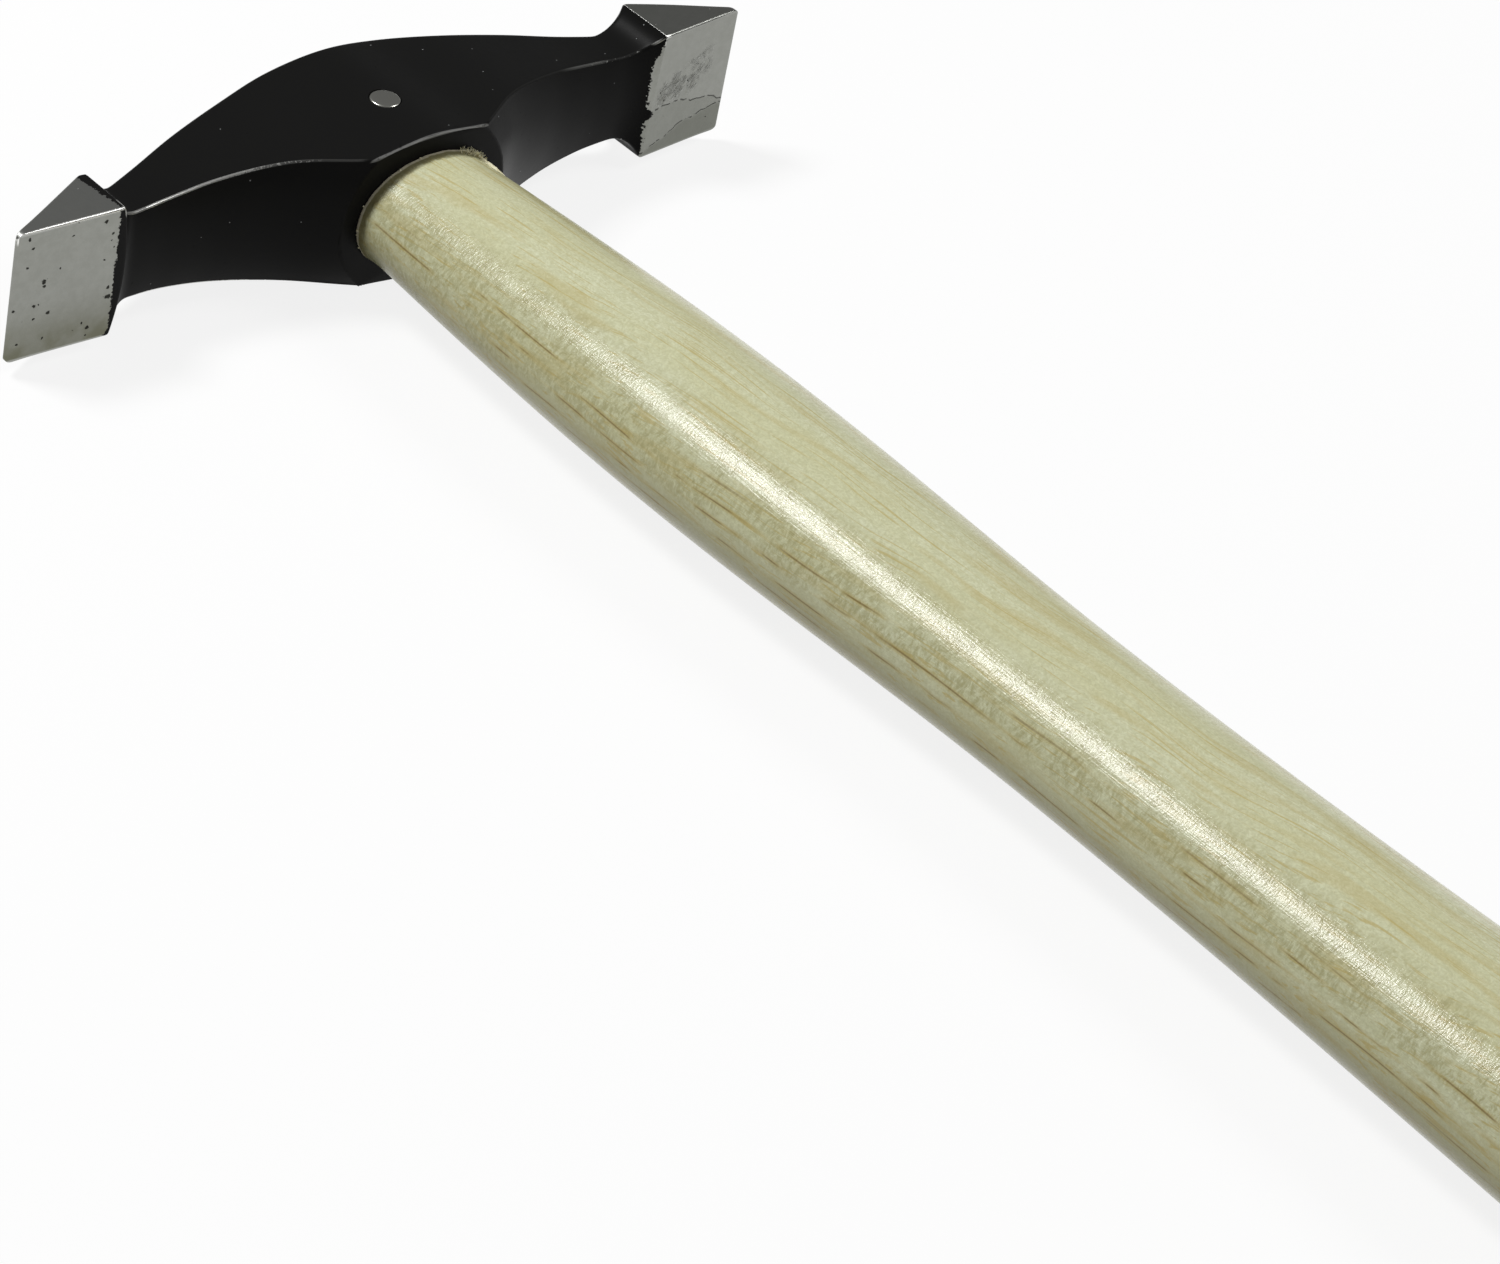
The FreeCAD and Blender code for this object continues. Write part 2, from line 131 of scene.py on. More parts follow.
class Finish:
    """A material whose nodes are added by one method and joined by expressions."""

    def __init__(self, name):
        self.material = bpy.data.materials.new(name)
        self.material.use_nodes = True
        self.tree = self.material.node_tree
        self.shader = self.tree.nodes["Principled BSDF"]

    def node(self, kind, settings, sockets, output=0):
        made = self.tree.nodes.new(kind)
        for name, value in settings.items():
            setattr(made, name, value)
        for name, value in sockets.items():
            self.feed(made.inputs[name], value)
        return Signal(self, made.outputs[output])

    def feed(self, socket, value):
        if isinstance(value, Signal):
            self.tree.links.new(value.output, socket)
        else:
            socket.default_value = value

    def surface(self, **sockets):
        """Set or link the shader's sockets; a space in a name is written as an underscore."""
        for name, value in sockets.items():
            self.feed(self.shader.inputs[name.replace("_", " ")], value)

    def axes(self):
        """The place in millimetres: across from the middle, along from the ridges, and up."""
        here = self.node("ShaderNodeTexCoord", {}, {}, "Object")
        away = self.vector("SUBTRACT", here, (0, RIDGE_LINE, MID_HEIGHT))
        place = self.vector("MULTIPLY", away, (1 / MM,) * 3)
        return place, self.parts(place)

    def parts(self, place):
        """A place's three numbers."""
        split = self.node("ShaderNodeSeparateXYZ", {}, {0: place})
        return [Signal(self, output) for output in split.output.node.outputs]

    def vector(self, operation, *values, output=0):
        sockets = dict(enumerate(values))
        return self.node("ShaderNodeVectorMath", {"operation": operation}, sockets, output)

    def join(self, x, y, z):
        return self.node("ShaderNodeCombineXYZ", {}, {0: x, 1: y, 2: z})

    def noise(self, place, spans, detail=2.0, roughness=0.5, output=0):
        """Smooth noise whose lumps span these millimetres along X, Y and Z."""
        return self.node("ShaderNodeTexNoise", {"noise_dimensions": "3D"},
                         {"Vector": self.vector("DIVIDE", place, spans), "Scale": 1.0,
                          "Detail": detail, "Roughness": roughness}, output)

    def pushed(self, place, spans, reach):
        """The place pushed about by up to half this reach, in millimetres."""
        push = self.vector("SUBTRACT", self.noise(place, spans, output=1), (0.5,) * 3)
        return self.vector("MULTIPLY_ADD", push, (reach,) * 3, place)

    def dots(self, place, span, radius):
        """1 within this radius of points that lie about a span apart."""
        apart = self.node("ShaderNodeTexVoronoi", {"feature": "F1"},
                          {"Vector": self.vector("DIVIDE", place, (span,) * 3), "Scale": 1.0})
        return apart.step(radius / span, DOT_CORE_SHARE * radius / span)

    def spot(self, place, middle, radius):
        """1 within this radius of one point."""
        away = self.vector("DISTANCE", place, middle, output="Value")
        return away.step(radius, DOT_CORE_SHARE * radius)

    def blend(self, share, colour, other):
        """The first colour at share 0 and the other one at share 1."""
        colours = [value if isinstance(value, Signal) else (*value, 1.0)
                   for value in (colour, other)]
        sockets = {MIX_SHARE: share, MIX_FIRST: colours[0], MIX_OTHER: colours[1]}
        return self.node("ShaderNodeMix", {"data_type": "RGBA"}, sockets, MIX_RESULT)

    def attribute(self, name):
        return self.node("ShaderNodeAttribute", {"attribute_name": name}, {}, "Fac")

    def bump(self, height, depth, strength=1.0, under=None):
        """A normal raised by this height, in shares of a depth in metres."""
        sockets = {"Height": height, "Distance": depth, "Strength": strength}
        if under is not None:
            sockets["Normal"] = under
        return self.node("ShaderNodeBump", {}, sockets)


# Modelling helpers

def start_piece(name, add, **settings):
    """Add a primitive with nothing else selected, and open it for editing."""
    bpy.ops.object.select_all(action="DESELECT")
    add(**settings)
    piece = bpy.context.object
    piece.name = name
    piece.data.name = name
    bpy.ops.object.transform_apply(location=True, rotation=True, scale=True)
    bpy.ops.object.mode_set(mode="EDIT")
    bpy.ops.mesh.select_mode(type="VERT")
    return piece


def select_where(piece, chosen, kind="VERT"):
    """Select the vertices, edges or faces that a test picks, in edit mode."""
    bpy.ops.mesh.select_mode(type=kind)
    bpy.ops.mesh.select_all(action="DESELECT")
    mesh = bmesh.from_edit_mesh(piece.data)
    parts = {"VERT": mesh.verts, "EDGE": mesh.edges, "FACE": mesh.faces}[kind]
    for part in parts:
        if chosen(part):
            part.select_set(True)
    mesh.select_flush_mode()
    bmesh.update_edit_mesh(piece.data)


def close_piece(piece):
    """Merge doubles, turn the faces outwards and leave edit mode."""
    bpy.ops.mesh.select_all(action="SELECT")
    bpy.ops.mesh.remove_doubles(threshold=MERGE_REACH)
    bpy.ops.mesh.normals_make_consistent(inside=False)
    bpy.ops.object.mode_set(mode="OBJECT")
    return piece


def make_only(piece):
    """Make this the only selected piece and the active one."""
    bpy.ops.object.select_all(action="DESELECT")
    piece.select_set(True)
    bpy.context.view_layer.objects.active = piece


def apply_modifier(piece, kind, **settings):
    make_only(piece)
    modifier = piece.modifiers.new(kind.title(), kind)
    for name, value in settings.items():
        setattr(modifier, name, value)
    bpy.ops.object.modifier_apply(modifier=modifier.name)


def smooth_out(piece, levels):
    apply_modifier(piece, "SUBSURF", levels=levels, render_levels=levels)


def cut_out(piece, cutter):
    """Cut a closed shape out of a piece, and throw the cutter away."""
    apply_modifier(piece, "BOOLEAN", object=cutter, operation="DIFFERENCE", solver="EXACT")
    bpy.data.objects.remove(cutter)


def clear_slivers(piece):
    """Remove the faces without area that a cut can leave along its edge."""
    make_only(piece)
    bpy.ops.object.mode_set(mode="EDIT")
    bpy.ops.mesh.select_all(action="SELECT")
    bpy.ops.mesh.dissolve_degenerate(threshold=MERGE_REACH)
    bpy.ops.object.mode_set(mode="OBJECT")


def shade(piece, sharp_from_degrees):
    make_only(piece)
    bpy.ops.object.shade_smooth_by_angle(angle=math.radians(sharp_from_degrees))


def finish_piece(piece, finish, node=None):
    """Give a piece its material, and its place on the hammer's one body."""
    piece.data.materials.clear()
    piece.data.materials.append(finish.material)
    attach(piece, "root")
    if node:
        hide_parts(node)


def draw_out(piece, outlines):
    """Set the selected face on the first outline, and draw it out to each of the others.

    An outline holds the place of each of the face's corners in turn.
    """
    for number, outline in enumerate(outlines):
        if number:
            bpy.ops.mesh.extrude_region_move()
        mesh = bmesh.from_edit_mesh(piece.data)
        face = next(face for face in mesh.faces if face.select)
        for vertex, place in zip(face.verts, outline):
            vertex.co = place
        bmesh.update_edit_mesh(piece.data)


# The head

# The arms, from the middle of the boss to the neck: places along them as shares of their
# reach, and how much of the boss's size is left there, from 1 at the boss to 0 at the neck.
# The front starts past 1, and grinding the boss face flat takes that away.
ARM_REACH = 31.0 * MM
ARM_PLACE_SHARES = [0, 0.224, 0.45, 0.68, 0.87, 1]
ARM_THICKNESS_SHARES = [1, 0.76, 0.62, 0.34, 0.1, 0]
ARM_BACK_SHARES = [1, 1, 0.75, 0.49, 0.205, 0]
ARM_FRONT_SHARES = [1.42, 1, 0.37, 0.055, -0.02, 0]
ARM_CROWN_SHARES = [1, 1, 0.6, 0.3, 0.1, 0]
ARM_STEPS = 24

# Each size as (at the neck, at the boss): half the thickness, how far back and front lie from
# the line through both ridges, and how far the front bulges.
THICKNESS = (5.05 * MM, BOSS_HALF)
BACK = (5.54 * MM, 12.25 * MM)
FRONT = (0.6 * MM, -BOSS_FRONT)
CROWN = (0.45 * MM, 2.3 * MM)

# The cove that flares the neck out to the peen, and the cut between it and the peen's base.
COVE_PLACE_SHARES = [0.16, 0.32, 0.46, 0.58, 0.68, 0.77, 0.85, 0.93, 1]
COVE_TURN_SHARE = 0.95
LAND_SHARE = 0.7

# The cuts across a peen, from its base to its nose, and round the ridge, in degrees.
PEEN_PLACE_SHARES = [0, 0.04, 0.25, 0.5, 0.75, 0.92, 0.95, 0.98, 1]
NOSE_TURNS = [30, 60, 75]
PEEN_HALF = 7.38 * MM
PEEN_FRONT = -1.0 * MM
RIDGE_RADIUS = 0.25 * MM
CORNER_RADIUS = 0.8 * MM

# Each peen as it was ground: where its slopes start, how wide the land behind them is, how
# far the base leans out at the upper cheek, how far the land bows in between the cheeks, how
# far back its base reaches, and how full its back slope is.
LEFT_PEEN = (34.62 * MM, 0.5 * MM, -0.2 * MM, 1.0 * MM, 5.74 * MM, 0.0)
RIGHT_PEEN = (35.12 * MM, 0.2 * MM, 0.32 * MM, 0.0, 6.15 * MM, 0.25 * MM)

CREASE_BEVEL = 0.32 * MM
ARCH_BEVEL = 0.45 * MM
PEEN_BEVEL = 0.28 * MM
BOSS_RIM_BEVEL = 0.2 * MM

# The points of one cut: up the crowned front, round each edge, in degrees, and over the
# cheek. A bevel takes at most a share of the cut's depth, and a flat starts so many bevels
# from its corner that smoothing leaves it flat.
CROWN_PLACE_SHARES = [0.2, 0.4, 0.6, 0.8, 0.94]
CHEEK_PLACE_SHARES = [0.33, 0.66]
EDGE_TURNS = [0, 30, 60, 90]
BEVEL_MOST_SHARE = 0.125
FLAT_START_BEVELS = 2.5
CHEEK_END_BEVELS = 2
BACK_PLACE_SHARE = 0.4

# An edge this round or sharper loses its paint first and takes the painted edge highlights. The
# flat boss face, the one face with more corners than this, keeps its own.
SHARP_RADIUS = 0.4 * MM
LEAST_FACE_RUN = 0.01 * MM
BOSS_FACE_CORNERS = 30


def through(places, values, place):
    """A smooth curve through values at places, level at the first of them."""
    for index in range(len(places) - 1):
        if place <= places[index + 1]:
            break
    slopes = [0.0]
    for number in range(1, len(places) - 1):
        run = places[number + 1] - places[number - 1]
        slopes.append((values[number + 1] - values[number - 1]) / run)
    slopes.append((values[-1] - values[-2]) / (places[-1] - places[-2]))
    span = places[index + 1] - places[index]
    t = (place - places[index]) / span
    return (values[index] * (1 + 2 * t) * (1 - t) ** 2
            + slopes[index] * span * t * (1 - t) ** 2
            + values[index + 1] * t ** 2 * (3 - 2 * t)
            + slopes[index + 1] * span * t ** 2 * (t - 1))


def from_to(ends, share):
    return ends[0] + (ends[1] - ends[0]) * share


def arm_section(share):
    """(half thickness, front, back, crown) at this share of the arm's reach."""
    return [from_to(ends, through(ARM_PLACE_SHARES, shares, share))
            for ends, shares in ((THICKNESS, ARM_THICKNESS_SHARES), (FRONT, ARM_FRONT_SHARES),
                                 (BACK, ARM_BACK_SHARES), (CROWN, ARM_CROWN_SHARES))]


def cove_rise(share):
    """How far the cove has risen, from 0 to 1, at this share of its length."""
    whole = 1 - math.sqrt(1 - COVE_TURN_SHARE ** 2)
    return (1 - math.sqrt(1 - (COVE_TURN_SHARE * share) ** 2)) / whole


def corner_drop(place):
    """How far the ridge's rounded corner has dropped at this place along X."""
    past = max(0.0, place - (HALF_LENGTH - CORNER_RADIUS))
    return CORNER_RADIUS - math.sqrt(CORNER_RADIUS ** 2 - past ** 2)


def arm_stations(base, land, lean, bow, back, fullness):
    """The cuts from the boss to one ridge.

    Each is (place along X, half thickness, front, back, crown, lean, bow, on the peen).
    """
    stations = []
    for step in range(ARM_STEPS + 1):
        share = step / ARM_STEPS
        stations.append((ARM_REACH * share, *arm_section(share), 0, 0, False))
    for share in COVE_PLACE_SHARES:
        rise = cove_rise(share)
        stations.append((
            from_to((ARM_REACH, base - land), share),
            from_to((THICKNESS[0], PEEN_HALF), rise),
            from_to((FRONT[0], PEEN_FRONT), rise),
            from_to((BACK[0], back), rise),
            CROWN[0] * (1 - rise), lean * share ** 2, bow * share ** 2, False))
    stations.append((base - LAND_SHARE * land, PEEN_HALF, PEEN_FRONT, back, 0,
                     lean * LAND_SHARE, bow * LAND_SHARE, False))
    nose = HALF_LENGTH - RIDGE_RADIUS
    for share in PEEN_PLACE_SHARES:
        place = from_to((base, nose), share)
        stations.append((
            place, PEEN_HALF - corner_drop(place),
            from_to((PEEN_FRONT, -RIDGE_RADIUS), share),
            from_to((back, RIDGE_RADIUS), share) + fullness * 4 * share * (1 - share),
            0, max(0, lean) * (1 - share), 0, True))
    for turn in NOSE_TURNS:
        place = nose + RIDGE_RADIUS * math.sin(math.radians(turn))
        half = RIDGE_RADIUS * math.cos(math.radians(turn))
        stations.append((place, PEEN_HALF - corner_drop(place), -half, half, 0, 0, 0, True))
    return stations


def head_outline(station, side):
    """The points round one cut across the head, up the front, over the top and round."""
    place, half, front, back, crown, lean, bow, on_peen = station
    depth = back - front
    fine = min(PEEN_BEVEL if on_peen else CREASE_BEVEL, depth * BEVEL_MOST_SHARE)
    broad = fine if on_peen else min(ARCH_BEVEL, depth * BEVEL_MOST_SHARE)
    chord = half - fine
    bends = [(math.sin(math.radians(turn)), math.cos(math.radians(turn)))
             for turn in EDGE_TURNS]
    upper = [(front - crown * (1 - share ** 2), chord * share) for share in CROWN_PLACE_SHARES]
    upper += [(front + fine * (1 - cosine), chord + fine * sine) for sine, cosine in bends]
    upper.append((front + FLAT_START_BEVELS * fine, half))
    upper += [(front + depth * share, half) for share in CHEEK_PLACE_SHARES]
    upper.append((back - CHEEK_END_BEVELS * broad, half))
    upper += [(back - broad * (1 - sine), half - broad * (1 - cosine)) for sine, cosine in bends]
    upper.append((back, half - FLAT_START_BEVELS * broad))
    upper.append((back, (half - broad) * BACK_PLACE_SHARE))
    lower = [(y, -z) for y, z in reversed(upper)]
    outline = [(front - crown, 0.0)] + upper + [(back, 0.0)] + lower
    points = []
    for y, z in outline:
        rise = z / PEEN_HALF
        out = place + lean * rise - bow * (1 - rise ** 2)
        points.append(Vector((side * out, RIDGE_LINE + y, MID_HEIGHT + z)))
    return points


def draw_head():
    """Forge the head from a bar, drawn out from the left ridge to the right one, and grind it."""
    outlines = [head_outline(station, -1) for station in reversed(arm_stations(*LEFT_PEEN)[1:])]
    outlines += [head_outline(station, 1) for station in arm_stations(*RIGHT_PEEN)]
    piece = start_piece("hammer_head", bpy.ops.mesh.primitive_circle_add,
                        vertices=len(outlines[0]), radius=BOSS_HALF, fill_type="NGON",
                        location=(-HALF_LENGTH, RIDGE_LINE, MID_HEIGHT),
                        rotation=(0, math.pi / 2, 0))
    bpy.ops.mesh.select_all(action="SELECT")
    draw_out(piece, outlines)
    close_piece(piece)
    smooth_out(piece, 2)
    grind_boss_face(piece)
    mark_sharp_edges(piece)
    cut_out(piece, eye_cutter())
    cut_out(piece, pin_cutter(PIN_RADIUS + PIN_GAP))
    clear_slivers(piece)
    shade(piece, sharp_from_degrees=40)
    return piece


def grind_boss_face(piece):
    """Cut the front of the boss flat, and break the edge of the cut."""
    make_only(piece)
    bpy.ops.object.mode_set(mode="EDIT")
    bpy.ops.mesh.select_all(action="SELECT")
    bpy.ops.mesh.bisect(plane_co=(0, BOSS_FACE, 0), plane_no=(0, -1, 0), clear_outer=True,
                        use_fill=True, threshold=MERGE_REACH)
    bpy.ops.mesh.region_to_loop()
    bpy.ops.mesh.bevel(offset=BOSS_RIM_BEVEL, segments=3, profile=0.5, affect="EDGES")
    close_piece(piece)


def mark_sharp_edges(piece):
    """Note how sharply each vertex's edges turn outwards, as the attribute edge."""
    mesh = bmesh.new()
    mesh.from_mesh(piece.data)
    layer = mesh.verts.layers.float.new("edge")
    for vertex in mesh.verts:
        sharpest = 0.0
        for edge in vertex.link_edges:
            if len(edge.link_faces) == 2:
                one, other = [face.calc_center_median() for face in edge.link_faces]
                turn = edge.calc_face_angle_signed(0.0)
                sharpest = max(sharpest, turn / max((one - other).length, LEAST_FACE_RUN))
        on_boss_face = any(len(face.verts) > BOSS_FACE_CORNERS for face in vertex.link_faces)
        vertex[layer] = 0.0 if on_boss_face else min(1.0, sharpest * SHARP_RADIUS)
    mesh.to_mesh(piece.data)
    mesh.free()


# The eye, the handle and its tenon

PIN_RADIUS = (PIN_HIGH.x - PIN_LOW.x) / 2
PIN_PLACE = (PIN_LOW.y + PIN_HIGH.y) / 2
PIN_GAP = 0.07 * MM
PIN_POINTS = 64
PIN_CUTTER_LENGTH = 4 * BOSS_HALF
FLAT_RATIO = 0.73
EYE_MOUTH = 8.28 * MM
EYE_WAIST = 8.0 * MM
EYE_TOP = 8.5 * MM
EYE_WAIST_HALF_LENGTH = 2.2 * MM
FIT = 0.02 * MM

# The handle's waves from the boss to the butt: each ends at a place, a share of the reach,
# and a swell, 0 as wide as the eye's mouth and 1 as wide as the grip. The last two shares
# say which part of a half wave it is.
HANDLE_WAVE_SHARES = [
    (0.2, 0.57, 0.5, 1),
    (0.4, 0.3, 0, 1),
    (0.85, 1, 0, 1),
    (1, 0.7, 0, 0.5),
]
GRIP_HALF = (HANDLE_HIGH.z - HANDLE_LOW.z) / 2 / FLAT_RATIO
BUTT_RADIUS = 3.0 * MM
HANDLE_POINTS = 96
GRIP_STEPS = 90
BUTT_STEPS = 8
BUTT_INSET_SHARES = [0.1, 0.25]

# The crushed rim where the handle meets the boss, in millimetres: the depth down the handle,
# and how far it stands out past the eye's mouth there.
RIM_STEPS = [(0.0, -0.01), (0.03, 0.16), (0.16, 0.24), (0.42, 0.22), (0.75, 0.1), (1.1, 0.06)]


def oval(place, half_width, half_height=None):
    """The points round an oval cut across the handle."""
    if half_height is None:
        half_height = half_width * FLAT_RATIO
    points = []
    for number in range(HANDLE_POINTS):
        turn = 2 * math.pi * number / HANDLE_POINTS
        points.append(Vector((half_width * math.cos(turn), place,
                              MID_HEIGHT + half_height * math.sin(turn))))
    return points


def rim_oval(depth, half_width, proud):
    """An oval of the crushed rim, whose edge stands out unevenly."""
    points = oval(BOSS_FACE - depth, half_width)
    for number, point in enumerate(points):
        turn = 2 * math.pi * number / HANDLE_POINTS
        slow = 0.3 * math.sin(3 * turn + 1)
        quick = 0.25 * math.sin(8 * turn) * math.sin(13 * turn)
        point.x += proud * (1 + slow + quick) * math.cos(turn)
        point.z += proud * (1 + slow + quick) * math.sin(turn)
    return points


def eye_ovals(clearance, overrun):
    """The eye's top, its straight waist and its mouth, less a clearance all round."""
    rings = [
        (HANDLE_HIGH.y + overrun, EYE_TOP),
        (PIN_PLACE + EYE_WAIST_HALF_LENGTH, EYE_WAIST),
        (PIN_PLACE - EYE_WAIST_HALF_LENGTH, EYE_WAIST),
        (BOSS_FACE - overrun, EYE_MOUTH),
    ]
    return [oval(place, half - clearance, half * FLAT_RATIO - clearance)
            for place, half in rings]


def start_oval_bar(name, first):
    """A flat oval face, ready to be drawn out."""
    piece = start_piece(name, bpy.ops.mesh.primitive_circle_add, vertices=HANDLE_POINTS,
                        radius=GRIP_HALF, fill_type="NGON",
                        location=(0, first[0].y, MID_HEIGHT), rotation=(math.pi / 2, 0, 0))
    bpy.ops.mesh.select_all(action="SELECT")
    return piece


def eye_cutter():
    rings = eye_ovals(clearance=0.0, overrun=CUT_OVERRUN)
    piece = start_oval_bar("eye_cutter", rings[0])
    draw_out(piece, rings)
    return close_piece(piece)


def pin_cutter(radius):
    piece = start_piece("pin_cutter", bpy.ops.mesh.primitive_cylinder_add,
                        vertices=PIN_POINTS, radius=radius, depth=PIN_CUTTER_LENGTH,
                        location=(0, PIN_PLACE, MID_HEIGHT))
    return close_piece(piece)


def handle_swell(share):
    """How far the handle has swelled at this share of its reach."""
    start, low = 0, 0
    for place, high, first, last in HANDLE_WAVE_SHARES:
        if share <= place:
            break
        start, low = place, high
    turn = first + (last - first) * (share - start) / (place - start)
    drop = math.cos(math.pi * first) - math.cos(math.pi * turn)
    whole_drop = math.cos(math.pi * first) - math.cos(math.pi * last)
    return low + (high - low) * drop / whole_drop


def grip_half_width(share):
    return from_to((EYE_MOUTH, GRIP_HALF), handle_swell(share))


def draw_handle():
    """The tenon, the crushed rim at the boss, the grip and the rounded butt."""
    straight = BOSS_FACE - HANDLE_LOW.y - BUTT_RADIUS
    rings = eye_ovals(clearance=FIT, overrun=0.0)
    for depth, proud in RIM_STEPS:
        rings.append(rim_oval(depth * MM, grip_half_width(depth * MM / straight), proud * MM))
    for step in range(1, GRIP_STEPS + 1):
        share = step / GRIP_STEPS
        rings.append(oval(BOSS_FACE - straight * share, grip_half_width(share)))
    butt = grip_half_width(1)
    for step in range(1, BUTT_STEPS + 1):
        turn = math.pi / 2 * step / BUTT_STEPS
        inset = BUTT_RADIUS * (1 - math.cos(turn))
        rings.append(oval(HANDLE_LOW.y + BUTT_RADIUS * (1 - math.sin(turn)),
                          butt - inset, butt * FLAT_RATIO - inset))
    piece = start_oval_bar("turned_handle", rings[0])
    draw_out(piece, rings)
    for share in BUTT_INSET_SHARES:
        bpy.ops.mesh.inset(thickness=share * (butt * FLAT_RATIO - BUTT_RADIUS))
    close_piece(piece)
    cut_out(piece, kerf_cutter())
    cut_out(piece, pin_cutter(PIN_RADIUS))
    shade(piece, sharp_from_degrees=35)
    return piece


# Where the torn fibres, the long sliver and the crumbs lie on the rim, in degrees from the
# right side.
FIBRE_TURNS = (34, 66)
SLIVER_TURNS = (47, 36)
CRUMB_TURNS = (100, 118, 131, 158, 181, 186, 203)
RIM_PROUD = 0.12 * MM

FIBRE_SEED = 5
FIBRE_COUNT = 130
FIBRE_POINTS = 5
FIBRE_RADIUS = 0.055 * MM
FIBRE_RADIUS_SHARES = (0.7, 1.5)
FIBRE_TIP_SHARE = 0.4
FIBRE_OUT_SHARE = 0.35
FIBRE_LENGTHS = (0.3 * MM, 0.85 * MM)
FIBRE_DEPTHS = (0.0, 0.9 * MM)
FIBRE_LEANS = [(-0.7, 0.7), (-0.9, 0.5), (-0.6, 0.6)]

SLIVER_DEPTHS = (0.1 * MM, 5.6 * MM)
SLIVER_HEIGHT = 0.42 * MM
SLIVER_ROOT_SHARE = 0.25
SLIVER_HALF_WIDTH = 0.2 * MM
SLIVER_SINK = 0.16 * MM
SLIVER_LEAST_HEIGHT = 0.05 * MM
SLIVER_STEPS = 14
SLIVER_POINTS = 10

CRUMB_RADIUS = 0.13 * MM
CRUMB_RADIUS_SHARES = (0.6, 1.1)
CRUMB_DEPTHS = (0.0, 0.3 * MM)


def on_rim(turn, depth):
    """A place on the crushed rim and the way out from it."""
    out = Vector((math.cos(turn), 0, math.sin(turn) / FLAT_RATIO)).normalized()
    half = EYE_MOUTH + RIM_PROUD
    place = Vector((half * math.cos(turn), BOSS_FACE - depth,
                    MID_HEIGHT + half * FLAT_RATIO * math.sin(turn)))
    return place, out


def sliver_ring(share):
    """The points round the long sliver that is torn up along the handle's right side."""
    turn = math.radians(from_to(SLIVER_TURNS, share))
    place, out = on_rim(turn, from_to(SLIVER_DEPTHS, share))
    beside = Vector((-out.z, 0, out.x))
    lift = SLIVER_HEIGHT * math.sin(math.pi * from_to((SLIVER_ROOT_SHARE, 1), share)) ** 0.7
    uneven = 1 + 0.14 * math.sin(17 * share) + 0.1 * math.sin(41 * share)
    middle = place + out * (lift / 2 - SLIVER_SINK)
    points = []
    for number in range(SLIVER_POINTS):
        angle = 2 * math.pi * number / SLIVER_POINTS
        points.append(middle + beside * SLIVER_HALF_WIDTH * uneven * math.cos(angle)
                      + out * (lift * uneven / 2 + SLIVER_LEAST_HEIGHT) * math.sin(angle))
    return points


def draw_torn_fibres():
    """The long sliver, the crumbs left on the rim, and the fibres torn up beside them."""
    chance = random.Random(FIBRE_SEED)
    piece = start_piece("torn_fibres", bpy.ops.mesh.primitive_circle_add,
                        vertices=SLIVER_POINTS, radius=SLIVER_HALF_WIDTH, fill_type="NGON",
                        location=on_rim(math.radians(SLIVER_TURNS[0]), 0)[0])
    bpy.ops.mesh.select_all(action="SELECT")
    draw_out(piece, [sliver_ring(step / SLIVER_STEPS) for step in range(SLIVER_STEPS + 1)])
    bpy.ops.mesh.select_all(action="DESELECT")
    for turn in CRUMB_TURNS:
        place, out = on_rim(math.radians(turn), chance.uniform(*CRUMB_DEPTHS))
        bpy.ops.mesh.primitive_ico_sphere_add(
            subdivisions=1, radius=CRUMB_RADIUS * chance.uniform(*CRUMB_RADIUS_SHARES),
            location=place + out * CRUMB_RADIUS)
    for number in range(FIBRE_COUNT):
        turn = math.radians(chance.triangular(*FIBRE_TURNS))
        place, out = on_rim(turn, chance.uniform(*FIBRE_DEPTHS))
        length = chance.uniform(*FIBRE_LENGTHS)
        lean = Vector([chance.uniform(*ends) for ends in FIBRE_LEANS])
        aim = (out + lean).normalized()
        bpy.ops.mesh.primitive_cone_add(
            vertices=FIBRE_POINTS, radius1=FIBRE_RADIUS * chance.uniform(*FIBRE_RADIUS_SHARES),
            radius2=FIBRE_RADIUS * FIBRE_TIP_SHARE, depth=length,
            location=place + aim * length * FIBRE_OUT_SHARE,
            rotation=aim.to_track_quat("Z", "Y").to_euler())
    close_piece(piece)
    shade(piece, sharp_from_degrees=60)
    return piece


# The wedge and the pin

WEDGE_TIP_HALF = 0.4 * MM
WEDGE_BEVEL = 0.12 * MM

# The kerf is sawn right through the tenon, from side to side.
KERF_HALF_WIDTH = 2 * EYE_TOP


def wedge_block(name, half_width, spare):
    """A block as thick as the wedge at its top, pinched to the wedge's tip.

    The spare is how much it is larger than the wedge all round.
    """
    top_half = (WEDGE_HIGH.z - WEDGE_LOW.z) / 2 + spare
    tip = WEDGE_LOW.y - spare
    top = WEDGE_HIGH.y + spare
    piece = start_piece(name, bpy.ops.mesh.primitive_cube_add, size=1,
                        location=(0, (tip + top) / 2, MID_HEIGHT),
                        scale=(2 * half_width, top - tip, 2 * top_half))
    select_where(piece, lambda vertex: vertex.co.y < (tip + top) / 2)
    ratio = (WEDGE_TIP_HALF + spare) / top_half
    bpy.ops.transform.resize(value=(1, 1, ratio), center_override=(0, tip, MID_HEIGHT))
    return piece


def kerf_cutter():
    return close_piece(wedge_block("kerf_cutter", KERF_HALF_WIDTH, spare=FIT))


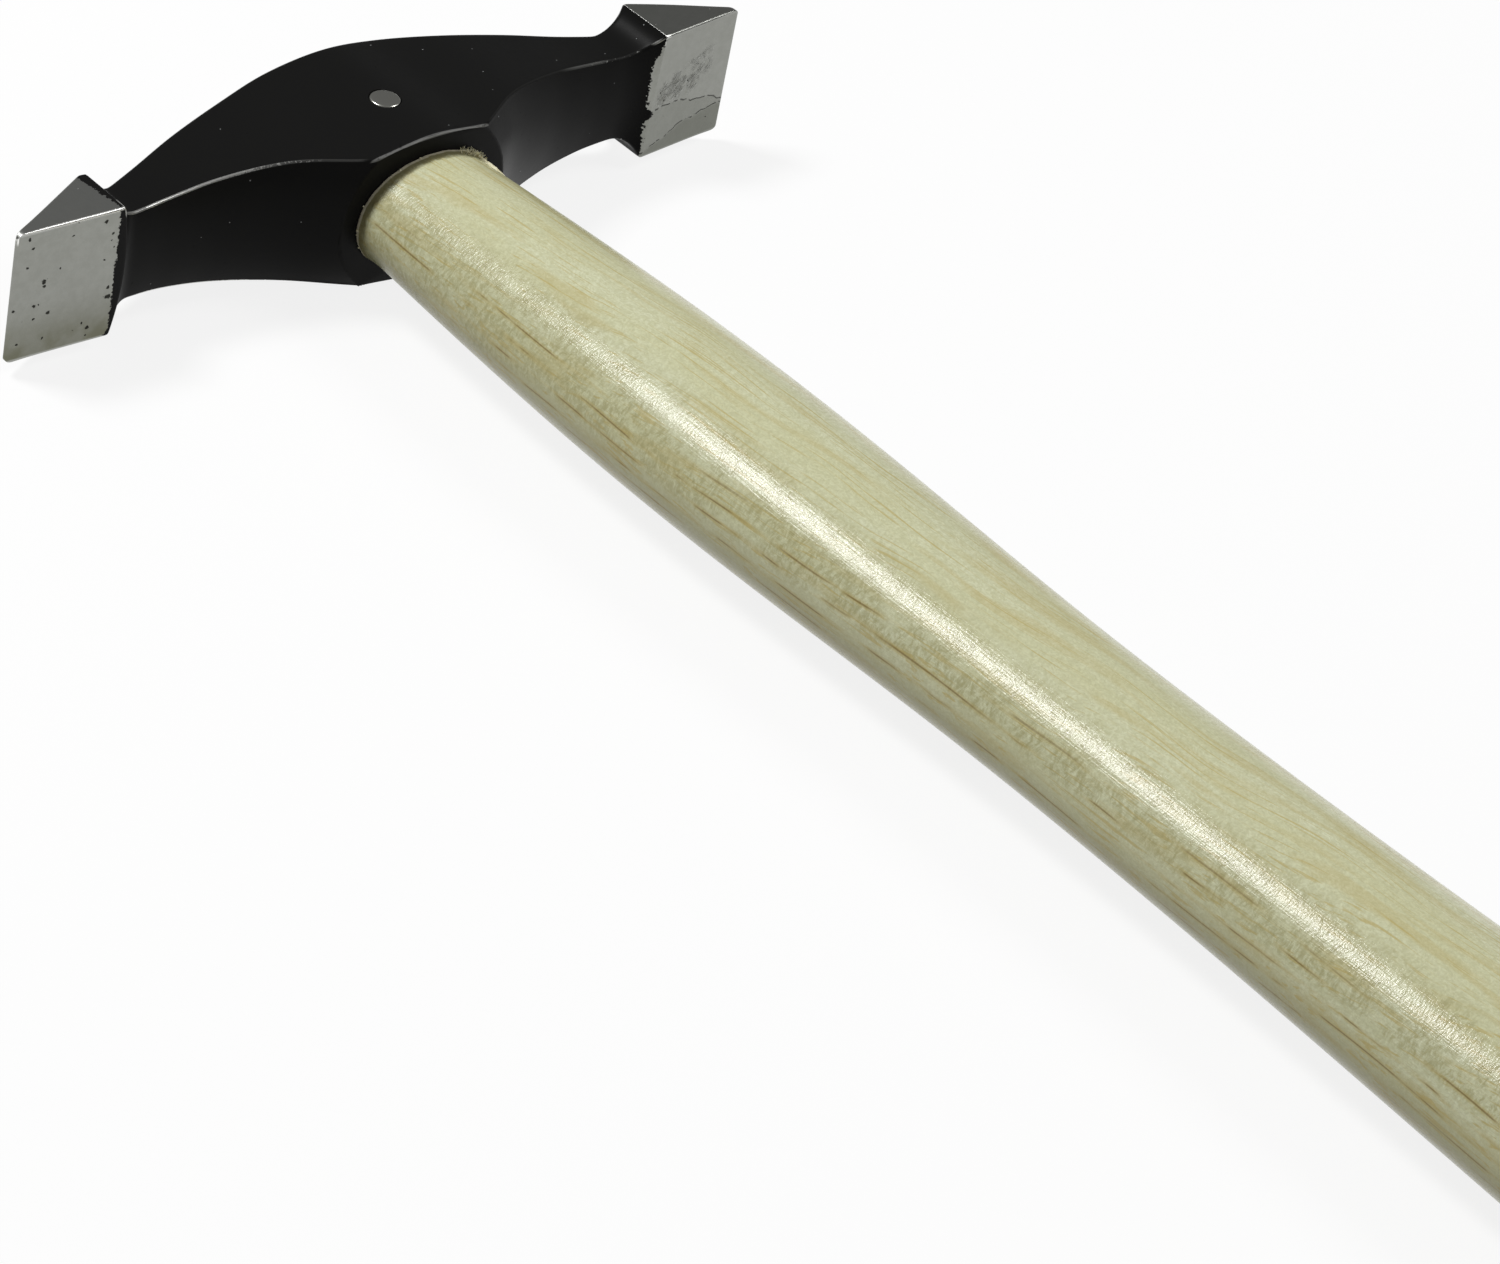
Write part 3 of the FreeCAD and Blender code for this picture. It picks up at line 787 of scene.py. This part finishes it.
def draw_wedge():
    """The wedge, its edges broken."""
    piece = wedge_block("driven_wedge", (WEDGE_HIGH.x - WEDGE_LOW.x) / 2, spare=0.0)
    bpy.ops.mesh.select_all(action="SELECT")
    bpy.ops.mesh.bevel(offset=WEDGE_BEVEL, segments=2, profile=0.5, affect="EDGES")
    close_piece(piece)
    shade(piece, sharp_from_degrees=35)
    return piece


PIN_DOME = 0.05 * MM
PIN_BEVEL = 0.22 * MM

# The dome's rings, as shares of its height and of the end's radius inside the bevel.
DOME_RING_SHARES = [0.5, 0.3, 0.2]
DOME_WIDTH_SHARE = 0.9


def draw_pin():
    """The pin, its two ends dressed to a low dome with a broken edge."""
    half = (PIN_HIGH.z - PIN_LOW.z) / 2
    piece = start_piece("dressed_pin", bpy.ops.mesh.primitive_cylinder_add,
                        vertices=PIN_POINTS, radius=PIN_RADIUS, depth=2 * (half - PIN_DOME),
                        location=(0, PIN_PLACE, MID_HEIGHT))
    for side in (-1, 1):
        select_where(piece, lambda face: face.normal.z * side > 0.9, "FACE")
        bpy.ops.mesh.bevel(offset=PIN_BEVEL, segments=3, profile=0.5, affect="EDGES")
        select_where(piece, lambda face: face.normal.z * side > 0.999, "FACE")
        for share in DOME_RING_SHARES:
            bpy.ops.mesh.inset(thickness=share * (PIN_RADIUS - PIN_BEVEL) * DOME_WIDTH_SHARE)
            bpy.ops.transform.translate(value=(0, 0, side * PIN_DOME * share))
    close_piece(piece)
    shade(piece, sharp_from_degrees=35)
    return piece


# Finishes

PAINT_BLACK = (0.0090, 0.0090, 0.0087)
SPECK_GREY = (0.30, 0.31, 0.31)
# Rubbed paint, also used for the painted highlight along the arm creases.
RUBBED_AND_HIGHLIT_GREY = (0.55, 0.55, 0.53)
GROUND_STEEL = (0.300, 0.305, 0.280)
MOTTLED_STEEL = (0.235, 0.240, 0.215)
# Painted shade, with some stain, for the lower part of the left peen.
STAINED_AND_SHADED_STEEL = (0.155, 0.155, 0.110)
DARKER_LOW_STEEL = (0.130, 0.135, 0.110)
# Painted light on the peens' ground sides.
SIDE_STEEL_PAINTED_LIGHT = (0.500, 0.510, 0.490)
# Painted highlight on the peens' upper front edges.
EDGE_HIGHLIGHT_STEEL = (0.90, 0.90, 0.87)
CRINKLE_DARK = (0.10, 0.10, 0.08)
CRINKLE_LIGHT = (0.42, 0.43, 0.40)
PIT_BLACK = (0.020, 0.020, 0.016)

# Places in the finishes are in millimetres, as Finish.axes gives them. A pair of numbers is
# where a mask starts and where it is full.
LEFT_PEEN_FROM = (-33.0, -34.0)
RIGHT_PEEN_FROM = (33.0, 34.0)
GROUND_SIDE_FROM = (6.95, 7.15)
PEEN_FRONT_FROM = (0.6, 0.2)

# The paint ends at the base of each peen, this far from the middle of the head, in a ragged
# line, with one notch on the right peen. On that peen's cove side it ends further out.
PAINT_END = 34.45
PAINT_RAGGED = 1.1
NOTCH_UP = -2.1
NOTCH_DEEP = 0.8
COVE_PAINT_END = 34.96

# The upper front edge of the boss: half its thickness at the middle, and how fast the edge
# drops to both sides.
BOSS_EDGE_UP = BOSS_HALF / MM
BOSS_EDGE_CURVE = 0.0162

# Pits on the front of the left peen: (across, up, radius), from the middle of the head.
LEFT_PITS = [
    (-36.0, 6.3, 0.16), (-35.1, 4.7, 0.13), (-35.2, 4.0, 0.10), (-35.8, 1.9, 0.12),
    (-44.5, 3.3, 0.14), (-40.8, 2.3, 0.11), (-42.5, 1.15, 0.24), (-42.4, 0.6, 0.16),
    (-35.0, -1.5, 0.20), (-34.9, -2.6, 0.30), (-43.3, -1.4, 0.17), (-41.6, -2.6, 0.20),
    (-45.6, -1.4, 0.15), (-43.2, -2.9, 0.12), (-42.0, -5.4, 0.14), (-36.9, -5.6, 0.17),
    (-37.6, -4.9, 0.12), (-44.6, 6.6, 0.18), (-44.1, 5.4, 0.16), (-39.7, 5.6, 0.09),
]

# A pit fades towards its edge, so it is drawn this much wider. What lies behind the front is
# moved this far away from all pits.
PIT_SPREAD = 1.25
OFF_THE_FRONT = 50.0

# The crinkled patch on the right peen's front, and the two dark lines below it, under which the
# face is darker: each line is highest here, (across, up), and bends down by so much from there.
PATCH_MIDDLE = (39.0, 0.8)
HIGH_LINE = (36.0, -1.5)
HIGH_LINE_BEND = 0.02
LOW_LINE = (45.5, -3.9)
LOW_LINE_BEND = 0.025


def peen_pits(finish, place):
    """Dark pits: those seen on the left peen, and loose ones on every ground face."""
    bent = finish.pushed(place, (0.5, 0.5, 0.5), 0.5)
    across, along, up = finish.parts(bent)
    flat = finish.join(across, along.step(0.2, 0.6) * OFF_THE_FRONT, up)
    pits = finish.dots(bent, 1.9, 0.13)
    for pit_across, pit_up, radius in LEFT_PITS:
        pits = pits.most(finish.spot(flat, (pit_across, 0, pit_up), PIT_SPREAD * radius))
    return pits


def right_peen_marks(finish, place):
    """The crinkled scratches and the two dark lines across the right peen's front, and the face
    darker below the lines.
    """
    bent = finish.pushed(place, (1.8, 1.8, 1.8), 1.1)
    across, along, up = finish.parts(bent)
    lie = finish.join(across * 0.6 + up * 0.8, along, across * 0.8 - up * 0.6)
    crinkles = finish.noise(lie, (1.0, 1.0, 0.30), 4.0, 0.65).step(0.34, 0.66)
    patches = finish.noise(place, (1.7, 1.7, 1.7), 2.0).step(0.36, 0.58)
    beside = across - PATCH_MIDDLE[0]
    above = up - PATCH_MIDDLE[1] - beside * 0.3
    reach = abs(beside - 0.3).step(4.4, 2.6) * abs(above).step(2.5, 1.2) * patches
    past_high, past_low = across - HIGH_LINE[0], across - LOW_LINE[0]
    high = up - HIGH_LINE[1] + past_high * past_high * HIGH_LINE_BEND
    low = up - LOW_LINE[1] + past_low * past_low * LOW_LINE_BEND
    broken = finish.noise(place, (0.7, 0.7, 0.7), 3.0).step(0.42, 0.5)
    lines = (abs(high).step(0.13, 0.03) + abs(low).step(0.10, 0.02)) * broken
    darker_below = high.step(0.1, -0.2) * 0.25 + low.step(0.1, -0.4) * 0.4
    front = across.step(*RIGHT_PEEN_FROM) * along.step(*PEEN_FRONT_FROM)
    return crinkles, reach * front, lines * front, darker_below * front


def paint_border(axes, left, right, top, fine):
    """How far from the middle of the head the paint reaches, on each side of each peen."""
    along, up = axes[1:]
    notch = right * abs(up - NOTCH_UP).step(1.0, 0.0)
    border = PAINT_END + (fine - 0.5) * PAINT_RAGGED * (1.0 - right * top)
    border = border + notch * NOTCH_DEEP + right * up.step(3.5, 7.2) * 0.8
    border = border + left * along.most(0.0) * 0.13 + left * up.step(-6.2, -7.3) * 0.5
    cove_side = right * abs(up).step(4.7, 5.2) * along.step(-0.9, -0.5)
    return border + cove_side * (COVE_PAINT_END + up * 0.043 - border)


def rubbed_and_highlit_paint(finish, axes, left, right, fine):
    """Where the paint is rubbed grey on the creases and the boss, with a painted highlight along
    the arm creases, and the painted highlight on the peens' upper front edges.
    """
    across, along, up = axes
    edge = finish.attribute("edge")
    arm_crease = (along.step(2.6, 2.1) * along.step(-5.2, -4.7) * abs(up).step(3.9, 4.7)
                  * abs(across).step(33.4, 33.0) * abs(across).step(5.5, 6.6))
    # The rubbed line is strongest where the crease shows bright in the key light: partly wear,
    # partly painted highlight.
    keen = across.step(-15.0, -21.0) * 0.34 - across.step(7.0, 9.0) * 0.25
    keen = keen + across.step(24.0, 27.0) * 0.2 - across.step(-29.4, -31.0) * 0.7
    rubbed = (edge - 0.72 + keen + (fine - 0.5) * 1.3).step(0.36, 0.5) * arm_crease
    rubbed = rubbed * abs(across).step(11.0, 14.0)
    # Painted highlight: a grey line along the arm creases, strongest on the left arm, where the
    # key light catches them.
    lit = (across.step(-11.0, -25.0) * 0.36 + across.step(0.0, -3.0) * 0.05
           + across.step(22.0, 25.0) * across.step(29.5, 28.0) * 0.12 + 0.02)
    crease_highlight = edge.step(0.55, 0.92) * arm_crease * lit
    above_edge = up - BOSS_EDGE_UP + across * across * BOSS_EDGE_CURVE
    rim = along.step(-5.3, -5.45) * abs(above_edge + 0.1).step(0.15, 0.06)
    # Painted highlight: near-white steel along the upper front edges of both peens.
    corner = right * across.step(36.0, 35.6) + left * along.step(*PEEN_FRONT_FROM)
    edge_highlight = (corner * up.step(6.0, 6.6) * edge.step(0.6, 0.9)).least(1.0)
    return (rubbed * 0.9 + crease_highlight + rim * 0.32).most(edge_highlight), edge_highlight


def painted_steel():
    """Satin black paint on the forging, and the ground faces of both peens."""
    finish = Finish("painted_and_ground_steel")
    place, axes = finish.axes()
    across, up = axes[0], axes[2]
    left, right = across.step(*LEFT_PEEN_FROM), across.step(*RIGHT_PEEN_FROM)
    top = abs(up).step(*GROUND_SIDE_FROM)
    fine = finish.noise(place, (0.3, 0.3, 0.3), 3.0, 0.6)
    broad = finish.noise(place, (3.0, 3.0, 3.0), 3.0)
    mottle = finish.noise(place, (1.0, 1.0, 1.0), 4.0, 0.6).step(0.3, 0.7)
    specks = finish.dots(place, 2.3, 0.085)

    ground = (abs(across) - paint_border(axes, left, right, top, fine)).step(-0.03, 0.03)
    worn_and_highlit, edge_highlight = rubbed_and_highlit_paint(finish, axes, left, right, fine)
    crinkles, reach, lines, darker_below = right_peen_marks(finish, place)
    pits = peen_pits(finish, place)
    # Painted shade: the left peen's steel darkens towards the bottom, in a smooth fade and in
    # patches, for the shadowed floor that it reflects there; the patches are partly stain.
    lower = up.step(0.0, -7.4) * (1.0 - right)
    stain_and_shade = up.step(-2.5, -7.0) * broad.step(0.40, 0.62) * (1.0 - right)

    steel = finish.blend(mottle * 0.4, GROUND_STEEL, MOTTLED_STEEL)
    steel = finish.blend(lower * 0.58 + stain_and_shade * 0.4, steel, STAINED_AND_SHADED_STEEL)
    steel = finish.blend(crinkles.step(0.30, 0.10) * reach * 0.6, steel, CRINKLE_DARK)
    steel = finish.blend(crinkles.step(0.75, 0.95) * reach * 0.5, steel, CRINKLE_LIGHT)
    steel = finish.blend(darker_below, steel, DARKER_LOW_STEEL)
    # Painted light: the ground sides of the peens are painted a lighter steel, the left peen's
    # more than the right's.
    steel = finish.blend(top * (left * 0.35 + 0.22), steel, SIDE_STEEL_PAINTED_LIGHT)
    steel = finish.blend(edge_highlight, steel, EDGE_HIGHLIGHT_STEEL)
    steel = finish.blend((pits * 0.85 + lines * 0.8).least(0.95), steel, PIT_BLACK)
    paint = finish.blend(specks, PAINT_BLACK, SPECK_GREY)
    paint = finish.blend(worn_and_highlit, paint, RUBBED_AND_HIGHLIT_GREY)

    peel = finish.bump(finish.noise(place, (0.9, 0.9, 0.9), 2.0), 0.012 * MM, 0.5)
    uneven = broad * 0.6 + fine * 0.3 - pits - lines + crinkles * reach * 3.5
    finish.surface(
        Base_Color=finish.blend(ground, paint, steel),
        Metallic=(worn_and_highlit * 0.85).most(ground * (1.0 - pits * 0.9)),
        Roughness=0.36 + pits * 0.3,
        Specular_IOR_Level=0.05,
        Normal=finish.bump(uneven * ground, 0.035 * MM, 1.0, peel))
    return finish


WOOD_CREAM = (0.665, 0.668, 0.425)
WOOD_PALE = (0.725, 0.745, 0.530)
WOOD_MOTTLE = (0.565, 0.568, 0.345)
WOOD_GRAIN = (0.440, 0.425, 0.250)
# Painted shade on the handle's lower sides.
WOOD_UNDERSIDE_SHADE = (0.450, 0.425, 0.235)
WOOD_STREAK = (0.490, 0.385, 0.125)
WOOD_FLECK = (0.375, 0.350, 0.170)
WOOD_BROWN = (0.150, 0.085, 0.022)
END_GRAIN = (0.40, 0.33, 0.15)
MOUTH_BAND_BROWN = (0.150, 0.130, 0.050)
CRUSHED_CREAM = (0.62, 0.57, 0.42)

# Growth rings lie nearly level in the handle, this far apart, and rise slowly to the butt.
RING_APART = 1.35
RING_START = 0.72
RING_RISE_SHARE = 0.02
RING_DRIFT = 2.2

# Along from the ridges: where the handle leaves the boss, where the tenon's end grain starts
# to show behind it, and the butt.
MOUTH = -BOSS_FRONT / MM
TENON_END = (12.0, 12.3)
BUTT_END = (HANDLE_LOW.y - RIDGE_LINE) / MM


def long_grain(finish, place, axes, bent):
    """The handle's colour as it shows on top: mottled cream with long golden streaks, and painted
    shade darkening its lower sides.
    """
    across, along, up = axes
    sway = finish.noise(place, (8.0, 24.0, 8.0), 1.0)
    leaning = finish.join(across + along * 0.09 + sway * 4.0, along, up)
    streaks = finish.noise(leaning, (0.30, 20.0, 0.5), 3.0, 0.6).step(0.56, 0.66)
    hairs = finish.noise(leaning, (0.13, 3.0, 0.18), 3.0, 0.6).step(0.50, 0.70)
    tan = finish.noise(leaning, (1.6, 20.0, 1.6), 2.0).step(0.50, 0.66)
    broad = finish.noise(place, (4.0, 26.0, 4.0), 2.0).step(0.3, 0.7)
    mottle = finish.noise(bent, (0.48, 0.62, 0.48), 4.0, 0.65).step(0.36, 0.64)
    grain = finish.noise(bent, (0.20, 0.32, 0.20), 3.0, 0.6).step(0.3, 0.7)
    below = abs(across).step(5.5, 8.5) * up.step(3.0, -1.0)

    colour = finish.blend(broad, WOOD_CREAM, WOOD_PALE)
    colour = finish.blend(mottle * 0.55, colour, WOOD_MOTTLE)
    colour = finish.blend(grain * 0.42, colour, WOOD_GRAIN)
    colour = finish.blend(tan * 0.30, colour, WOOD_STREAK)
    # Painted shade: the handle's lower sides darkened towards tan.
    colour = finish.blend(below * 0.5, colour, WOOD_UNDERSIDE_SHADE)
    colour = finish.blend(streaks * 0.60, colour, WOOD_STREAK)
    return finish.blend(hairs * 0.14, colour, WOOD_STREAK)


def side_grain(finish, place, axes, bent, level, ring, near_head, colour):
    """Ray flecks at the handle's sides, and the dark ring lines along them."""
    across, up = axes[0], axes[2]
    rays = finish.noise(bent, (0.75, 0.40, 0.75), 4.0, 0.65).step(0.36, 0.66)
    clumps = finish.noise(place, (2.2, 4.0, 1.7), 2.0).step(0.28, 0.55)
    beside = abs(across).step(3.6, 6.4) * (level + 1.2 + near_head * 4.0).step(0.0, 1.4)
    shown = finish.noise(place, (5.0, 7.0, 1.3), 2.0)
    side = abs(across).step(7.0, 8.6) * abs(up - 1.0).step(3.6, 2.6)
    halo = ring.step(0.26, 0.05) * shown.step(0.38, 0.58) * side
    lines = ring.step(0.080, 0.02) * shown.step(0.49, 0.60) * side

    colour = finish.blend(rays * clumps * beside * 0.70, colour, WOOD_FLECK)
    colour = finish.blend(halo * 0.45, colour, WOOD_STREAK)
    return finish.blend(lines * 0.60, colour, WOOD_BROWN)


def end_grain(finish, place, end, ring, colour):
    """Rings and pores where the handle is cut across, at the butt and the tenon's end."""
    pores = finish.dots(place, 0.42, 0.1) * ring.step(0.5, 0.2)
    colour = finish.blend(end * 0.5, colour, END_GRAIN)
    colour = finish.blend(end * ring.step(0.2, 0.05) * 0.6, colour, WOOD_BROWN)
    return finish.blend(end * pores * 0.6, colour, WOOD_BROWN)


def varnished_wood():
    """Pale hardwood under gloss varnish, flat sawn, darker in a band where it meets the boss."""
    finish = Finish("varnished_hardwood")
    place, axes = finish.axes()
    along, up = axes[1:]
    from_mouth = along - MOUTH
    near_head = from_mouth.step(-30.0, -10.0)
    end = along.step(*TENON_END).most(along.step(BUTT_END + 2.6, BUTT_END + 1.2))
    bent = finish.pushed(place, (1.6, 1.6, 1.6), 1.2)
    drift = finish.noise(place, (9.0, 34.0, 9.0), 1.0)
    level = up + along * RING_RISE_SHARE + (drift - 0.5) * RING_DRIFT
    ring = abs(((level + RING_START) * (1 / RING_APART)).fraction() - 0.5)

    colour = long_grain(finish, place, axes, bent)
    colour = side_grain(finish, place, axes, bent, level, ring, near_head, colour)
    colour = end_grain(finish, place, end, ring, colour)
    # A darker band round the handle just below the boss, and a pale crushed lip at its edge.
    mouth_wobble = finish.noise(place, (0.7, 0.5, 0.7), 3.0) - 0.5
    band = (from_mouth + mouth_wobble * 0.9).step(-1.5, -0.75) * (1.0 - end)
    lip = (from_mouth + mouth_wobble * 0.25).step(-0.5, -0.32) * from_mouth.step(2.0, 1.0)
    colour = finish.blend(band * 0.85, colour, MOUTH_BAND_BROWN)
    colour = finish.blend(lip * 0.9, colour, CRUSHED_CREAM)

    ripple = finish.noise(place, (0.42, 0.22, 0.42), 1.5, 0.5) * (near_head * 0.5 + 0.5)
    grooves = finish.noise(place, (0.15, 5.0, 0.15), 2.0)
    finish.surface(
        Base_Color=colour,
        Roughness=0.18 + near_head * 0.06 + band * 0.2,
        Specular_IOR_Level=0.22,
        Normal=finish.bump(ripple + grooves * 0.45, 0.042 * MM))
    return finish


def bare_wood(name, spans, detail, pale, dark, roughness):
    """Wood without varnish, whose tone changes over lumps of these spans."""
    finish = Finish(name)
    place = finish.axes()[0]
    tone = finish.noise(place, spans, detail).step(0.3, 0.7)
    finish.surface(Base_Color=finish.blend(tone, pale, dark), Roughness=roughness)
    return finish


def torn_wood():
    return bare_wood("torn_fibres", (0.5, 0.5, 0.5), 2.0,
                     pale=(0.86, 0.83, 0.62), dark=(0.70, 0.64, 0.40), roughness=0.6)


def sawn_wood():
    return bare_wood("sawn_wedge_wood", (0.4, 6.0, 0.4), 3.0,
                     pale=(0.42, 0.30, 0.15), dark=(0.30, 0.19, 0.08), roughness=0.7)


def filed_steel():
    finish = Finish("filed_pin_steel")
    finish.surface(Base_Color=(0.60, 0.60, 0.55, 1), Metallic=1.0, Roughness=0.24)
    return finish


finish_piece(draw_head(), painted_steel(), "head")
finish_piece(draw_handle(), varnished_wood(), "handle")
finish_piece(draw_torn_fibres(), torn_wood())
finish_piece(draw_wedge(), sawn_wood(), "eye_wedge")
finish_piece(draw_pin(), filed_steel(), "cross_pin")


# The studio

# The camera looks past the handle's left side, from the photograph's angle. Angles are in
# degrees; the lens and the sensor are in millimetres, as on a camera.
AIM = Vector((-17.50 * MM, 40.81 * MM, MID_HEIGHT))
CAMERA_DISTANCE = 487.6 * MM
CAMERA_AZIMUTH = -49.32
CAMERA_ELEVATION = 36.33
CAMERA_ROLL = 12.21
CAMERA_NEAREST = 10 * MM
LENS = 129.58
SENSOR = 36.0

# The camera and reflections see the floor nearly white and glowing; as a source of light for
# the hammer it is a grey one.
FLOOR_SIZE = 12
FLOOR_SEEN = (0.95, 0.95, 0.95)
FLOOR_BOUNCE = (0.53, 0.53, 0.53)
FLOOR_GLOW_SHARE = 0.85
WHITE = (1, 1, 1, 1)
ROOM_STRENGTH = 0.15


def towards(azimuth, elevation):
    """The direction from the hammer to a place round it; azimuth 0 is in front."""
    turn, rise = math.radians(azimuth), math.radians(elevation)
    return Vector((math.sin(turn) * math.cos(rise), -math.cos(turn) * math.cos(rise),
                   math.sin(rise)))


def set_camera():
    back = towards(CAMERA_AZIMUTH, CAMERA_ELEVATION)
    right = Vector((0, 0, 1)).cross(back).normalized()
    turned = Matrix((right, back.cross(right), back)).transposed()
    turned = turned @ Matrix.Rotation(math.radians(CAMERA_ROLL), 3, "Z")
    data = bpy.data.cameras.new("camera")
    data.sensor_width = SENSOR
    data.lens = LENS
    data.clip_start = CAMERA_NEAREST
    camera = bpy.data.objects.new("camera", data)
    bpy.context.scene.collection.objects.link(camera)
    camera.matrix_world = Matrix.Translation(AIM + back * CAMERA_DISTANCE) @ turned.to_4x4()
    bpy.context.scene.camera = camera


def add_softbox(name, azimuth, elevation, distance, width, height, power):
    data = bpy.data.lights.new(name, "AREA")
    data.shape = "RECTANGLE"
    data.size = width
    data.size_y = height
    data.energy = power
    lamp = bpy.data.objects.new(name, data)
    bpy.context.scene.collection.objects.link(lamp)
    direction = towards(azimuth, elevation)
    lamp.location = AIM + direction * distance
    lamp.rotation_mode = "QUATERNION"
    lamp.rotation_quaternion = direction.to_track_quat("Z", "Y")


def lay_floor():
    """A white floor that keeps a pale shadow of the hammer."""
    bpy.ops.object.select_all(action="DESELECT")
    bpy.ops.mesh.primitive_plane_add(size=FLOOR_SIZE, location=(0, 0, 0))
    floor = bpy.context.object
    floor.name = "floor"
    finish = Finish("floor")
    seen = finish.node("ShaderNodeLightPath", {}, {}, "Is Camera Ray")
    for ray in ("Is Glossy Ray", "Is Transmission Ray"):
        seen = seen.most(finish.node("ShaderNodeLightPath", {}, {}, ray))
    finish.surface(Base_Color=finish.blend(seen, FLOOR_BOUNCE, FLOOR_SEEN),
                   Roughness=0.9, Specular_IOR_Level=0.0)
    glow = finish.node("ShaderNodeEmission", {}, {"Color": WHITE, "Strength": 1.0})
    matt = Signal(finish, finish.shader.outputs["BSDF"])
    mixed = finish.node("ShaderNodeMixShader", {}, {0: seen * FLOOR_GLOW_SHARE, 1: matt, 2: glow})
    finish.feed(finish.tree.nodes["Material Output"].inputs["Surface"], mixed)
    floor.data.materials.append(finish.material)


def light_room():
    world = bpy.data.worlds.new("room")
    world.use_nodes = True
    background = world.node_tree.nodes["Background"]
    background.inputs["Color"].default_value = WHITE
    background.inputs["Strength"].default_value = ROOM_STRENGTH
    bpy.context.scene.world = world
    add_softbox("key", azimuth=-148, elevation=54, distance=0.9,
                width=0.24, height=0.20, power=5.9)
    add_softbox("edge_light", azimuth=66, elevation=48, distance=0.9,
                width=0.3, height=0.3, power=2.2)


set_camera()
lay_floor()
light_room()
bpy.context.scene.view_settings.view_transform = "Standard"
